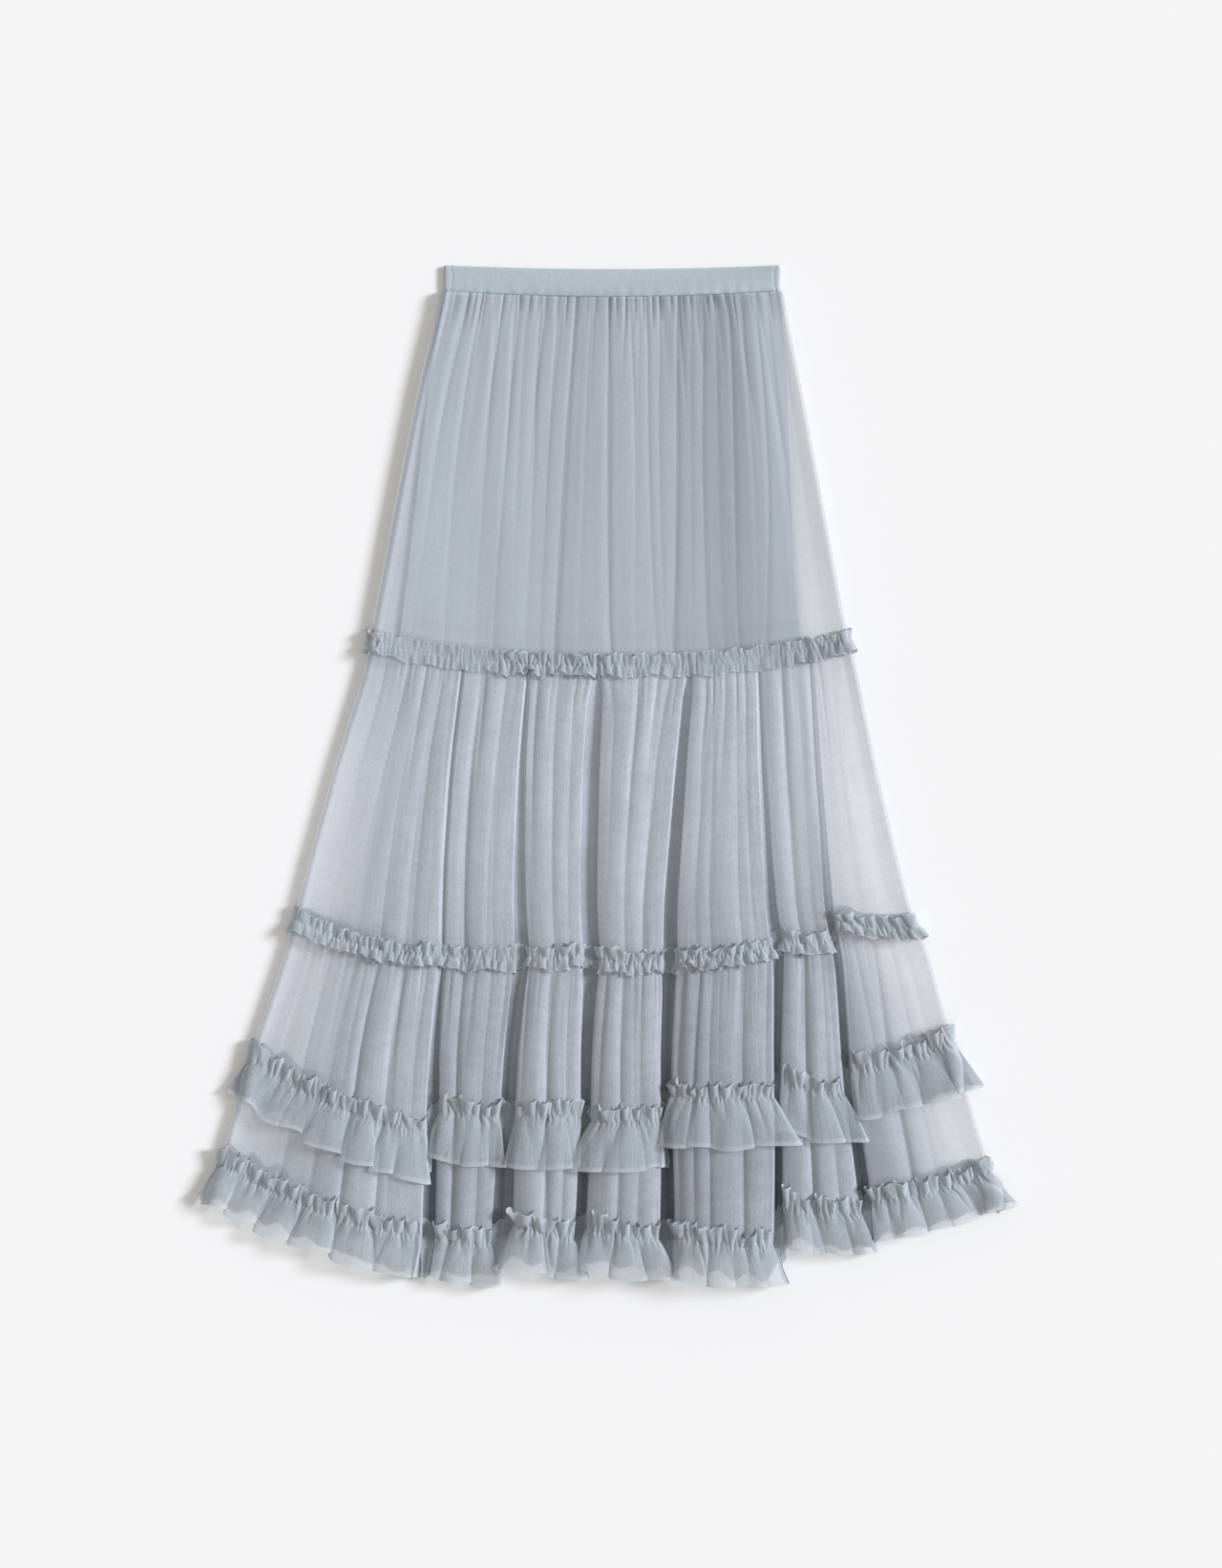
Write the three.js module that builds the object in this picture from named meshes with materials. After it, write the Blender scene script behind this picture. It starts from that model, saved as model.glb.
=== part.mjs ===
// Tulle skirt, laid flat on its back: an elastic waistband, a short lining, three gathered tulle
// tiers, a frill over each of the two upper seams and a flounce over each of the two lower ones.
// Millimetres. X runs across the skirt, +Y towards the waist, +Z up from the surface it lies on.
// A drop is a distance down from the top of the waistband. A share runs from 0 at the left side
// fold to 1 at the right one. A tier number counts seams: 0 at the waist and 4 at the hem flounce.

import * as THREE from 'three';

// Cloth walls and seams
const WALL = 1.2;
const SEAM_GAP = 0.3;
const LAYER = WALL + SEAM_GAP;
const MITRE_LIMIT = 2.4;

// Elastic waistband: its back folds round both sides onto the front
const BAND_WALL = 2.8;
const BAND_LEFT = -158;
const BAND_RIGHT = 160;
const BAND_HEIGHT = 24;
const BAND_TOP_DIP = 3.5;
const BAND_BOTTOM_DIP = 6;
const BAND_WRAP = 7;
const BAND_STEPS = 12;
const BAND_FOLD_STEPS = 5;

// First seam, which is one even arc
const FIRST_SEAM_SIDE = 354;
const FIRST_SEAM_DIP = 24;
const FIRST_SEAM_POWER = 2.4;

// Side folds of the tulle, at drops down the skirt
const EDGES = [
  { at: 0, left: -154, right: 157 },
  { at: 25, left: -159, right: 162 },
  { at: 111, left: -180, right: 179 },
  { at: 201, left: -198, right: 196 },
  { at: 349, left: -226, right: 223 },
  { at: 471, left: -259, right: 250 },
  { at: 610, left: -296, right: 283 },
  { at: 741, left: -338, right: 324 },
  { at: 850, left: -368, right: 356 },
  { at: 1000, left: -408, right: 397 },
];

// The seven large folds of the lower half, from left to right. share and hemShare are where a fold
// ends at the second seam and at the hem, rise is its height at the hem, bow how far its seams sag,
// and seam2 to seam4 are the drops of those seams at its left and right side.
const FOLDS = [
  { share: 0.255, hemShare: 0.279, rise: 14, bow: 8, seam2: [617, 651], seam3: [749, 819], seam4: [847, 918] },
  { share: 0.372, hemShare: 0.372, rise: 10, bow: 2, seam2: [652, 654], seam3: [797, 804], seam4: [917, 923] },
  { share: 0.479, hemShare: 0.471, rise: 17, bow: 1, seam2: [652, 651], seam3: [804, 804], seam4: [905, 919] },
  { share: 0.598, hemShare: 0.573, rise: 20, bow: 2, seam2: [655, 657], seam3: [808, 805], seam4: [908, 919] },
  { share: 0.762, hemShare: 0.714, rise: 24, bow: 2, seam2: [655, 645], seam3: [783, 785], seam4: [916, 925] },
  { share: 0.855, hemShare: 0.83, rise: 14, bow: 4, seam2: [636, 637], seam3: [769, 783], seam4: [886, 895] },
  { share: 1, hemShare: 1, rise: 12, bow: 5, seam2: [617, 624], seam3: [759, 733], seam4: [883, 857] },
];

// Valleys between the large folds, and the slopes at the skirt's sides, as shares of its width
const VALLEY_SHARE = 0.011;
const VALLEY_ROUND = 0.0068;
const SIDE_SLOPE = 0.15;

// Length that one more tier number stands for below the hem flounce's seam
const BELOW_HEM_SEAM = 100;

// How far the large folds have risen, and how high the small gathers stand, down the tiers
const RISING = [
  { at: 1, fold: 0 },
  { at: 2, fold: 0.5 },
  { at: 3, fold: 0.9 },
  { at: 4, fold: 1 },
];
const GATHERS = [
  { at: 0, height: 1.4 },
  { at: 0.35, height: 3.2 },
  { at: 1, height: 1.2 },
  { at: 1.2, height: 2.8 },
  { at: 1.6, height: 3.6 },
  { at: 2, height: 1.2 },
  { at: 2.2, height: 3 },
  { at: 2.6, height: 4 },
  { at: 3, height: 1.4 },
  { at: 3.4, height: 2.8 },
  { at: 4, height: 1.4 },
];

// Creases of the upper tier under the waistband, as shares of its width
const UPPER_CREASES = [
  0, 0.045, 0.09, 0.146, 0.204, 0.24, 0.28, 0.333, 0.387, 0.44, 0.487, 0.552,
  0.6, 0.641, 0.7, 0.735, 0.773, 0.807, 0.851, 0.895, 0.938, 0.972, 1,
];

// Gathers in each of the seven large folds of the middle and lower tier, and the plain steps of a
// back panel there
const TIER_GATHERS = [6, 3, 3, 4, 5, 3, 4];
const BACK_STEPS = [4, 2, 2, 2, 2, 2, 3];

// Outline of one gather, from trough to trough: in two steps, in three, and one plain step
const SHARP_GATHER = [0, 1];
const LEANING_GATHER = [0, 1, 0.55];
const PLAIN_STEP = [0];

// Frills and flounces: their seam, reach above and below it, height of the waves at both edges, how
// far they flare past the side folds, how much narrower they get there, and waves in each large fold
const STRIPS = {
  upperFrill: {
    seam: 1, up: 11, down: 12, waveUp: 5, waveDown: 5, flare: 0.004, narrow: 0, waves: [6, 3, 3, 3, 4, 2, 4],
  },
  lowerFrill: {
    seam: 2, up: 12, down: 12, waveUp: 5.5, waveDown: 5.5, flare: 0.004, narrow: 0, waves: [7, 3, 3, 3, 5, 3, 4],
  },
  upperFlounce: {
    seam: 3, up: 17, down: 45, waveUp: 6, waveDown: 8, flare: 0.02, narrow: 0.28, waves: [8, 3, 3, 4, 6, 3, 5],
  },
  hemFlounce: {
    seam: 4, up: 17, down: 37, waveUp: 6, waveDown: 8, flare: 0.02, narrow: 0.2, waves: [9, 3, 4, 4, 6, 3, 6],
  },
};
const STITCH_WAVE = 0.4;
const EDGE_WOBBLE = 3;
const FLARE_REACH = 0.12;
const NARROW_REACH = 0.2;

// The back panels ride over the back frills and flounces, which lie on the surface
const RAMP = 15;
const RAMP_MARGIN = 3;

// The front panels have risen clear of those back ramps by this tier number
const FRONT_LIFT_BY = 0.85;

// Lining, inside the upper tier: its side folds lie inside the tulle's, as shares of the width. The
// tulle rises over it within a narrow cover at each side, and sinks again below it.
const LINING_ABOVE_SEAM = 8;
const LINING_INSET_TOP = 0.03;
const LINING_INSET_LEFT = 0.056;
const LINING_INSET_RIGHT = 0.094;
const LINING_STEPS = 10;
const LINING_COVER = 0.022;
const LINING_EASE = 0.3;

const COLOURS = {
  tulle: { color: 0xb4bcc4, roughness: 0.9, metalness: 0 },
  frill: { color: 0xaab4bd, roughness: 0.9, metalness: 0 },
  lining: { color: 0xa9b3bc, roughness: 0.85, metalness: 0 },
  band: { color: 0xafbfc5, roughness: 0.8, metalness: 0 },
};

// Small helpers

function clamp01(value) {
  return Math.min(1, Math.max(0, value));
}

function mix(a, b, share) {
  return a + (b - a) * share;
}

function smooth(value) {
  const v = clamp01(value);
  return v * v * (3 - 2 * v);
}

// Value of a table's column at a place between its rows, held at both ends
function keyed(table, column, at) {
  let row = 0;
  while (row < table.length - 2 && table[row + 1].at < at) row += 1;
  const a = table[row];
  const b = table[row + 1];
  return mix(a[column], b[column], clamp01((at - a.at) / (b.at - a.at)));
}

// Seams and side folds

function foldAt(share) {
  const index = FOLDS.findIndex((fold) => share < fold.share);
  return index < 0 ? FOLDS.length - 1 : index;
}

function foldStart(index) {
  return index === 0 ? 0 : FOLDS[index - 1].share;
}

// Where a share lies inside its large fold, between the valleys on its two sides
function insideFold(index, share) {
  const start = foldStart(index) + (index > 0 ? VALLEY_SHARE : 0);
  const end = FOLDS[index].share - (index < FOLDS.length - 1 ? VALLEY_SHARE : 0);
  return (share - start) / (end - start);
}

function foldSeamDrop(seam, share) {
  const index = foldAt(share);
  const fold = FOLDS[index];
  const inside = clamp01(insideFold(index, share));
  const [left, right] = fold[`seam${seam}`];
  const sinceValley = index > 0 ? share - foldStart(index) : 1;
  const untilValley = index < FOLDS.length - 1 ? fold.share - share : 1;
  if (sinceValley < VALLEY_SHARE) {
    const leftOfIt = FOLDS[index - 1][`seam${seam}`][1];
    return mix(leftOfIt, left, smooth(0.5 + sinceValley / (2 * VALLEY_SHARE)));
  }
  if (untilValley < VALLEY_SHARE) {
    const rightOfIt = FOLDS[index + 1][`seam${seam}`][0];
    return mix(right, rightOfIt, smooth(0.5 - untilValley / (2 * VALLEY_SHARE)));
  }
  return mix(left, right, inside) + fold.bow * 4 * inside * (1 - inside);
}

function seamDrop(seam, share) {
  const middle = 1 - Math.min(1, Math.abs(2 * share - 1)) ** 2;
  if (seam === 0) return BAND_HEIGHT + SEAM_GAP + BAND_BOTTOM_DIP * middle;
  if (seam === 1) {
    const arc = 1 - Math.min(1, Math.abs(2 * share - 1)) ** FIRST_SEAM_POWER;
    return FIRST_SEAM_SIDE + FIRST_SEAM_DIP * arc;
  }
  return foldSeamDrop(seam, share);
}

// Drop of a row of points: a tier number, with an extra distance below it
function rowDrop(row, share) {
  const upper = Math.floor(row.tier);
  const part = row.tier - upper;
  const drop = seamDrop(upper, share);
  const between = part > 0 ? (seamDrop(upper + 1, share) - drop) * part : 0;
  return drop + between + (row.down || 0);
}

function tierAt(share, drop) {
  for (let seam = 0; seam < 4; seam += 1) {
    const upper = seamDrop(seam, share);
    const lower = seamDrop(seam + 1, share);
    if (drop < lower) return seam + (drop - upper) / (lower - upper);
  }
  return 4 + (drop - seamDrop(4, share)) / BELOW_HEM_SEAM;
}

// The large folds drift sideways between the second seam and the hem
function foldDrift(share) {
  const index = foldAt(clamp01(share));
  const start = foldStart(index);
  const before = index === 0 ? 0 : FOLDS[index - 1].hemShare - start;
  const after = FOLDS[index].hemShare - FOLDS[index].share;
  return mix(before, after, clamp01((share - start) / (FOLDS[index].share - start)));
}

function place(share, drop, height) {
  const across = share + foldDrift(share) * clamp01((tierAt(share, drop) - 2) / 2);
  const left = keyed(EDGES, 'left', drop);
  const right = keyed(EDGES, 'right', drop);
  return new THREE.Vector3(mix(left, right, across), -drop, height);
}

// Heights

// Height of a back panel's underside above the surface
function backLift(share, drop) {
  const lifts = Object.values(STRIPS).map((strip) => {
    const below = drop - seamDrop(strip.seam, share);
    const outside = Math.max(-strip.up - RAMP_MARGIN - below, below - strip.down - RAMP_MARGIN, 0);
    return LAYER * (1 - clamp01(outside / RAMP));
  });
  return Math.max(...lifts);
}

// Room that the two lining layers take under the front
function liningRoom(share, tier) {
  const side = clamp01(Math.min(share, 1 - share) / LINING_COVER);
  return 2 * LAYER * side * (1 - clamp01((tier - 1) / LINING_EASE));
}

// Height that the large folds add
function foldHeight(share, tier) {
  const index = foldAt(clamp01(share));
  const toLeft = index > 0 ? share - foldStart(index) : 1;
  const toRight = index < FOLDS.length - 1 ? FOLDS[index].share - share : 1;
  const valley = 1 - Math.exp(-((Math.min(toLeft, toRight) / VALLEY_ROUND) ** 2));
  const side = smooth(Math.min(share, 1 - share) / SIDE_SLOPE);
  return FOLDS[index].rise * valley * side * keyed(RISING, 'fold', tier);
}

// Height of a front panel's underside, where gather is 0 in a trough and 1 on a crest
function frontHeight(share, drop, gather) {
  const tier = tierAt(share, drop);
  const rest = LAYER + LAYER * clamp01(tier / FRONT_LIFT_BY) + liningRoom(share, tier);
  return rest + foldHeight(share, tier) + keyed(GATHERS, 'height', tier) * gather;
}

// Columns of points across a piece: a share, and how far up its gather the point is

// Gathers are uneven, each by its own number
function strength(index) {
  return 0.72 + 0.28 * Math.sin(2.4 * index + 1);
}

function gatherColumns(start, end, count, outline, first) {
  const columns = [];
  for (let wave = 0; wave < count; wave += 1) {
    outline.forEach((height, step) => {
      const along = (wave + step / outline.length) / count;
      columns.push({ share: mix(start, end, along), gather: height * strength(first + wave) });
    });
  }
  columns.push({ share: end, gather: 0 });
  return columns;
}

function foldColumns(counts, outline) {
  const columns = [];
  let first = 0;
  counts.forEach((count, index) => {
    const start = foldStart(index) + (index > 0 ? VALLEY_SHARE : 0);
    const end = FOLDS[index].share - (index < FOLDS.length - 1 ? VALLEY_SHARE : 0);
    if (index > 0) columns.push({ share: foldStart(index), gather: 0 });
    columns.push(...gatherColumns(start, end, count, outline, first));
    first += count;
  });
  return columns;
}

function creaseColumns(creases, outline) {
  const columns = [];
  for (let index = 0; index < creases.length - 1; index += 1) {
    const wave = gatherColumns(creases[index], creases[index + 1], 1, outline, index);
    columns.push(...(index < creases.length - 2 ? wave.slice(0, -1) : wave));
  }
  return columns;
}

// Grids of points, rows down the skirt and columns across it

function frontGrid(columns, rows) {
  return rows.map((row) => columns.map(({ share, gather }) => {
    const drop = rowDrop(row, share);
    return place(share, drop, frontHeight(share, drop, gather));
  }));
}

function backGrid(columns, rows, layers) {
  return rows.map((row) => columns.map(({ share }) => {
    const drop = rowDrop(row, share);
    return place(share, drop, backLift(share, drop) + layers * LAYER);
  }));
}

// A share moved outwards near the side folds
function flared(share, flare) {
  const left = Math.max(0, 1 - share / FLARE_REACH) ** 2;
  const right = Math.max(0, 1 - (1 - share) / FLARE_REACH) ** 2;
  return share + flare * (right - left);
}

// A strip's points on the cloth under it: rows at distances from its seam
function stripGrid(strip, columns, offsets, height) {
  return offsets.map((offset) => columns.map(({ share, gather }) => {
    const spread = Math.max(0, offset) / strip.down;
    const wobble = EDGE_WOBBLE * (gather - 0.5) * Math.min(1, Math.abs(offset) / strip.up);
    const narrower = 1 - strip.narrow * (1 - smooth(Math.min(share, 1 - share) / NARROW_REACH));
    const reach = offset > 0 ? offset * narrower : offset;
    const drop = seamDrop(strip.seam, share) + reach + wobble;
    return place(flared(share, strip.flare * spread), drop, height(share, drop));
  }));
}

// Direction out of a row of points, in its own upright section, lengthened in creases so that a
// wall keeps its thickness there
function outwardAt(points, column) {
  const normals = [];
  for (const start of [column - 1, column]) {
    if (start < 0 || start + 1 >= points.length) continue;
    const run = new THREE.Vector3().subVectors(points[start + 1], points[start]);
    normals.push(new THREE.Vector3(-run.z, 0, run.x).normalize());
  }
  const outward = normals.reduce((total, normal) => total.add(normal), new THREE.Vector3()).normalize();
  return outward.multiplyScalar(Math.min(MITRE_LIMIT, 1 / outward.dot(normals[0])));
}

function movedOut(grid, distance) {
  return grid.map((points, row) => points.map((point, column) => (
    point.clone().addScaledVector(outwardAt(points, column), distance(row, column))
  )));
}

function movedUp(grid, distance) {
  return grid.map((points) => points.map((point) => point.clone().setZ(point.z + distance)));
}

// A closed wall between two grids of the same size: under faces down and over faces up

function wallGeometry(under, over) {
  const rows = under.length;
  const columns = under[0].length;
  const lower = (row, column) => row * columns + column;
  const upper = (row, column) => rows * columns + lower(row, column);
  const faces = [];
  const quad = (a, b, c, d) => faces.push(a, b, c, a, c, d);
  for (let row = 0; row < rows - 1; row += 1) {
    for (let column = 0; column < columns - 1; column += 1) {
      quad(upper(row, column), upper(row + 1, column), upper(row + 1, column + 1), upper(row, column + 1));
      quad(lower(row, column), lower(row, column + 1), lower(row + 1, column + 1), lower(row + 1, column));
    }
  }
  const end = columns - 1;
  for (let row = 0; row < rows - 1; row += 1) {
    quad(upper(row, 0), lower(row, 0), lower(row + 1, 0), upper(row + 1, 0));
    quad(upper(row + 1, end), lower(row + 1, end), lower(row, end), upper(row, end));
  }
  const last = rows - 1;
  for (let column = 0; column < end; column += 1) {
    quad(upper(0, column + 1), lower(0, column + 1), lower(0, column), upper(0, column));
    quad(lower(last, column), lower(last, column + 1), upper(last, column + 1), upper(last, column));
  }
  const points = [...under.flat(), ...over.flat()];
  const geometry = new THREE.BufferGeometry();
  geometry.setAttribute('position', new THREE.Float32BufferAttribute(points.flatMap((p) => p.toArray()), 3));
  geometry.setIndex(faces);
  geometry.computeVertexNormals();
  return geometry;
}

function piece(name, look, under, over) {
  const mesh = new THREE.Mesh(wallGeometry(under, over), new THREE.MeshStandardMaterial(COLOURS[look]));
  mesh.name = name;
  return mesh;
}

// Waistband

function bandDrops(x) {
  const across = (2 * (x - BAND_LEFT)) / (BAND_RIGHT - BAND_LEFT) - 1;
  const middle = 1 - Math.min(1, Math.abs(across)) ** 2;
  return [BAND_TOP_DIP * middle, BAND_HEIGHT + BAND_BOTTOM_DIP * middle];
}

function bandGrid(path) {
  return [0, 1].map((edge) => path.map(([x, z]) => new THREE.Vector3(x, -bandDrops(x)[edge], z)));
}

function bandFold(x, side, radius) {
  const middle = BAND_WALL + SEAM_GAP / 2;
  const path = [];
  for (let step = 0; step <= BAND_FOLD_STEPS; step += 1) {
    const turn = (Math.PI * step) / BAND_FOLD_STEPS;
    path.push([x - side * (middle - radius * Math.sin(turn)), middle - side * radius * Math.cos(turn)]);
  }
  return path;
}

// The back of the band, from its left end on the front, round the skirt, to its right end
function bandBackPath(radius) {
  const middle = BAND_WALL + SEAM_GAP / 2;
  const across = [];
  for (let step = 1; step < BAND_STEPS; step += 1) {
    across.push([mix(BAND_LEFT + middle, BAND_RIGHT - middle, step / BAND_STEPS), middle - radius]);
  }
  return [
    [BAND_LEFT + BAND_WRAP, middle + radius],
    ...bandFold(BAND_LEFT, -1, radius),
    ...across,
    ...bandFold(BAND_RIGHT, 1, radius),
    [BAND_RIGHT - BAND_WRAP, middle + radius],
  ];
}

function waistbandBack() {
  const outer = bandBackPath(BAND_WALL + SEAM_GAP / 2);
  const inner = bandBackPath(SEAM_GAP / 2);
  return piece('waistband_back', 'band', bandGrid(outer), bandGrid(inner));
}

function waistbandFront() {
  const path = [];
  const left = BAND_LEFT + BAND_WRAP + SEAM_GAP;
  const right = BAND_RIGHT - BAND_WRAP - SEAM_GAP;
  for (let step = 0; step <= BAND_STEPS; step += 1) {
    path.push([mix(left, right, step / BAND_STEPS), BAND_WALL + SEAM_GAP]);
  }
  const under = bandGrid(path);
  return piece('waistband_front', 'band', under, movedUp(under, BAND_WALL));
}

// Lining

function lining(name, layers) {
  const columns = [];
  for (let step = 0; step <= LINING_STEPS; step += 1) columns.push(step / LINING_STEPS);
  const rows = [{ tier: 0 }, { tier: 0.5 }, { tier: 1, down: -STRIPS.upperFrill.up - RAMP_MARGIN - RAMP },
    { tier: 1, down: -STRIPS.upperFrill.up - RAMP_MARGIN }, { tier: 1, down: -LINING_ABOVE_SEAM }];
  const under = rows.map((row) => columns.map((step) => {
    const depth = clamp01(rowDrop(row, 0.5) / seamDrop(1, 0.5));
    const start = mix(LINING_INSET_TOP, LINING_INSET_LEFT, depth);
    const end = 1 - mix(LINING_INSET_TOP, LINING_INSET_RIGHT, depth);
    const share = mix(start, end, step);
    const drop = rowDrop(row, share);
    return place(share, drop, backLift(share, drop) + layers * LAYER);
  }));
  return piece(name, 'lining', under, movedUp(under, WALL));
}

// Tulle tiers

function tierFront(name, columns, rows) {
  const under = frontGrid(columns, rows);
  return piece(name, 'tulle', under, movedOut(under, () => WALL));
}

function tierBack(name, rows) {
  const under = backGrid(foldColumns(BACK_STEPS, PLAIN_STEP), rows, 0);
  return piece(name, 'tulle', under, movedUp(under, WALL));
}

const HALF_GAP = SEAM_GAP / 2;

function rampRows(strip, side) {
  const reach = side < 0 ? -strip.up - RAMP_MARGIN : strip.down + RAMP_MARGIN;
  const rows = [{ tier: strip.seam, down: reach + side * RAMP }, { tier: strip.seam, down: reach }];
  return side < 0 ? rows : rows.reverse();
}

function upperTier() {
  const frontRows = [{ tier: 0 }, { tier: 0.12 }, { tier: 0.35 }, { tier: 0.65 }, { tier: 0.88 },
    { tier: 1, down: -HALF_GAP }];
  const backRows = [{ tier: 0 }, { tier: 0.5 }, ...rampRows(STRIPS.upperFrill, -1),
    { tier: 1, down: -HALF_GAP }];
  return [
    tierFront('upper_tier_front', creaseColumns(UPPER_CREASES, LEANING_GATHER), frontRows),
    tierBack('upper_tier_back', backRows),
  ];
}

function middleTier() {
  const frontRows = [{ tier: 1, down: HALF_GAP }, { tier: 1.12 }, { tier: 1.4 }, { tier: 1.7 }, { tier: 1.9 },
    { tier: 2, down: -HALF_GAP }];
  const backRows = [{ tier: 1, down: HALF_GAP }, ...rampRows(STRIPS.upperFrill, 1),
    ...rampRows(STRIPS.lowerFrill, -1), { tier: 2, down: -HALF_GAP }];
  return [
    tierFront('middle_tier_front', foldColumns(TIER_GATHERS, LEANING_GATHER), frontRows),
    tierBack('middle_tier_back', backRows),
  ];
}

function lowerTier() {
  const hem = { tier: 4, down: RAMP_MARGIN };
  const frontRows = [{ tier: 2, down: HALF_GAP }, { tier: 2.15 }, { tier: 2.45 }, { tier: 2.8 }, { tier: 3.1 },
    { tier: 3.5 }, { tier: 3.9 }, hem];
  const backRows = [{ tier: 2, down: HALF_GAP }, ...rampRows(STRIPS.lowerFrill, 1),
    ...rampRows(STRIPS.upperFlounce, -1), { tier: 3 }, { tier: 3, down: STRIPS.upperFlounce.down }, hem];
  return [
    tierFront('lower_tier_front', foldColumns(TIER_GATHERS, LEANING_GATHER), frontRows),
    tierBack('lower_tier_back', backRows),
  ];
}

// Frills and flounces

function stripWave(strip, offset) {
  const edge = offset < 0 ? strip.waveUp * (-offset / strip.up) : strip.waveDown * (offset / strip.down);
  return Math.max(STITCH_WAVE, edge);
}

function stripFront(name, strip, outline, offsets) {
  const columns = foldColumns(strip.waves, outline);
  const onCloth = stripGrid(strip, columns, offsets, (share, drop) => frontHeight(share, drop, 1));
  const lift = (row, column) => LAYER + stripWave(strip, offsets[row]) * columns[column].gather;
  const under = movedOut(onCloth, lift);
  return piece(name, 'frill', under, movedOut(under, () => WALL));
}

function stripBack(name, strip) {
  const columns = foldColumns(BACK_STEPS, PLAIN_STEP).map(({ share }) => ({ share, gather: 0.5 }));
  const under = stripGrid(strip, columns, [-strip.up, strip.down], () => 0);
  return piece(name, 'frill', under, movedUp(under, WALL));
}

function frill(name, strip) {
  const offsets = [-strip.up, 0, strip.down];
  return [stripFront(`${name}_front`, strip, SHARP_GATHER, offsets), stripBack(`${name}_back`, strip)];
}

function flounce(name, strip) {
  const offsets = [-strip.up, 0, strip.down / 2, strip.down];
  return [stripFront(`${name}_front`, strip, LEANING_GATHER, offsets), stripBack(`${name}_back`, strip)];
}

// The whole skirt, standing on the middle of its own floor box

const group = new THREE.Group();
group.add(
  waistbandBack(),
  waistbandFront(),
  lining('lining_back', 1),
  lining('lining_front', 2),
  ...upperTier(),
  ...middleTier(),
  ...lowerTier(),
  ...frill('upper_frill', STRIPS.upperFrill),
  ...frill('lower_frill', STRIPS.lowerFrill),
  ...flounce('upper_flounce', STRIPS.upperFlounce),
  ...flounce('hem_flounce', STRIPS.hemFlounce),
);

const box = new THREE.Box3().setFromObject(group);
const middle = box.getCenter(new THREE.Vector3());
group.position.set(-middle.x, -middle.y, -box.min.z);

export default group;
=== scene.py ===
"""Tulle skirt laid flat: waistband, lining, three gathered tiers, two frills and two flounces.

Sizes are millimetres on the skirt itself. x runs across it from the middle of the waistband and a
drop runs down from its top. A tier number counts seams, 0 at the waist and 4 at the hem flounce.
"""
import math

import bpy
import numpy as np
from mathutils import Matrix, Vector

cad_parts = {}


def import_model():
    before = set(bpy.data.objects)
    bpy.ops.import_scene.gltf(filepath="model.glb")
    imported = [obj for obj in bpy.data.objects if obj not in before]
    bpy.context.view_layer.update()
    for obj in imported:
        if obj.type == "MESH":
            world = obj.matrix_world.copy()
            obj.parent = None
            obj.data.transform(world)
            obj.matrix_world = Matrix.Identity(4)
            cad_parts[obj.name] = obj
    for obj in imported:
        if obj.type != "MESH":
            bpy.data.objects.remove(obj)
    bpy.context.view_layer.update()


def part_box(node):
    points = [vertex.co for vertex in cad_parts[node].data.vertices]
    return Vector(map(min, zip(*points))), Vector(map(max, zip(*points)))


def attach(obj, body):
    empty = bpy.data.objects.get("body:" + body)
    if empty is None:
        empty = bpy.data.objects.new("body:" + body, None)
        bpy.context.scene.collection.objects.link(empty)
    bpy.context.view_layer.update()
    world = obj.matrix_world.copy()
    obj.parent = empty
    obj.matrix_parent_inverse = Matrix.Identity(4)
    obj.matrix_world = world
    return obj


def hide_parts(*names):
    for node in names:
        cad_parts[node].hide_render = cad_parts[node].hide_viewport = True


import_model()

MM = 0.001

# Side folds of the tulle, at drops down the skirt
EDGE_DROP = [0, 25, 111, 201, 349, 381, 471, 561, 610, 651, 741, 831, 900, 1000]
EDGE_LEFT = [-154, -159, -180, -198, -226, -231, -259, -284, -296, -307, -338, -364, -382, -408]
EDGE_RIGHT = [157, 162, 179, 196, 223, 232, 250, 271, 283, 300, 324, 351, 370, 397]

# Large folds of the lower half, left to right: height and usual width at the hem, sag of the seams,
# and the drops of the second, third and fourth seam at the fold's left and right side
RISE = np.array([13, 10, 16, 19, 24, 13, 12.0])
FOLD_WIDTH = np.array([80, 60, 70, 70, 100, 60, 80.0])
BOW = np.array([8, 2, 1, 2, 2, 4, 5.0])
SEAM_LEFT = {
    2: [617, 652, 652, 655, 655, 636, 617],
    3: [749, 797, 804, 808, 783, 769, 759],
    4: [847, 917, 905, 908, 916, 886, 883],
}
SEAM_RIGHT = {
    2: [651, 654, 651, 657, 645, 637, 624],
    3: [819, 804, 804, 805, 785, 783, 733],
    4: [918, 923, 919, 919, 925, 895, 857],
}
# Valleys between them: place as a share of the width at seams 1 to 4, then at other tier numbers the
# gap's width and how deep it goes, from 0 to 1
VALLEY_SHARE = np.array([
    [0.195, 0.244, 0.270, 0.282],
    [0.330, 0.368, 0.370, 0.373],
    [0.471, 0.476, 0.476, 0.470],
    [0.660, 0.596, 0.585, 0.577],
    [0.800, 0.768, 0.739, 0.716],
    [0.910, 0.862, 0.838, 0.830],
])
VALLEY_TIER = [1, 1.12, 2, 3, 4]
VALLEY_GAP = np.array([
    [1, 1, 2, 5, 7],
    [1, 2, 9, 11, 15],
    [3, 12, 12, 6, 6],
    [2, 8, 10, 6, 9],
    [1, 2, 8, 5, 8],
    [1, 2, 5, 6, 7],
])
VALLEY_DEPTH = np.array([
    [0.2, 0.2, 0.15, 0.9, 1],
    [0.2, 0.3, 0.8, 1, 1],
    [0.4, 1, 1, 1, 1],
    [0.3, 0.9, 1, 1, 1],
    [0.2, 0.4, 1, 1, 1],
    [0.2, 0.4, 1, 1, 1],
])
FOLDS = len(RISE)
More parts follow.
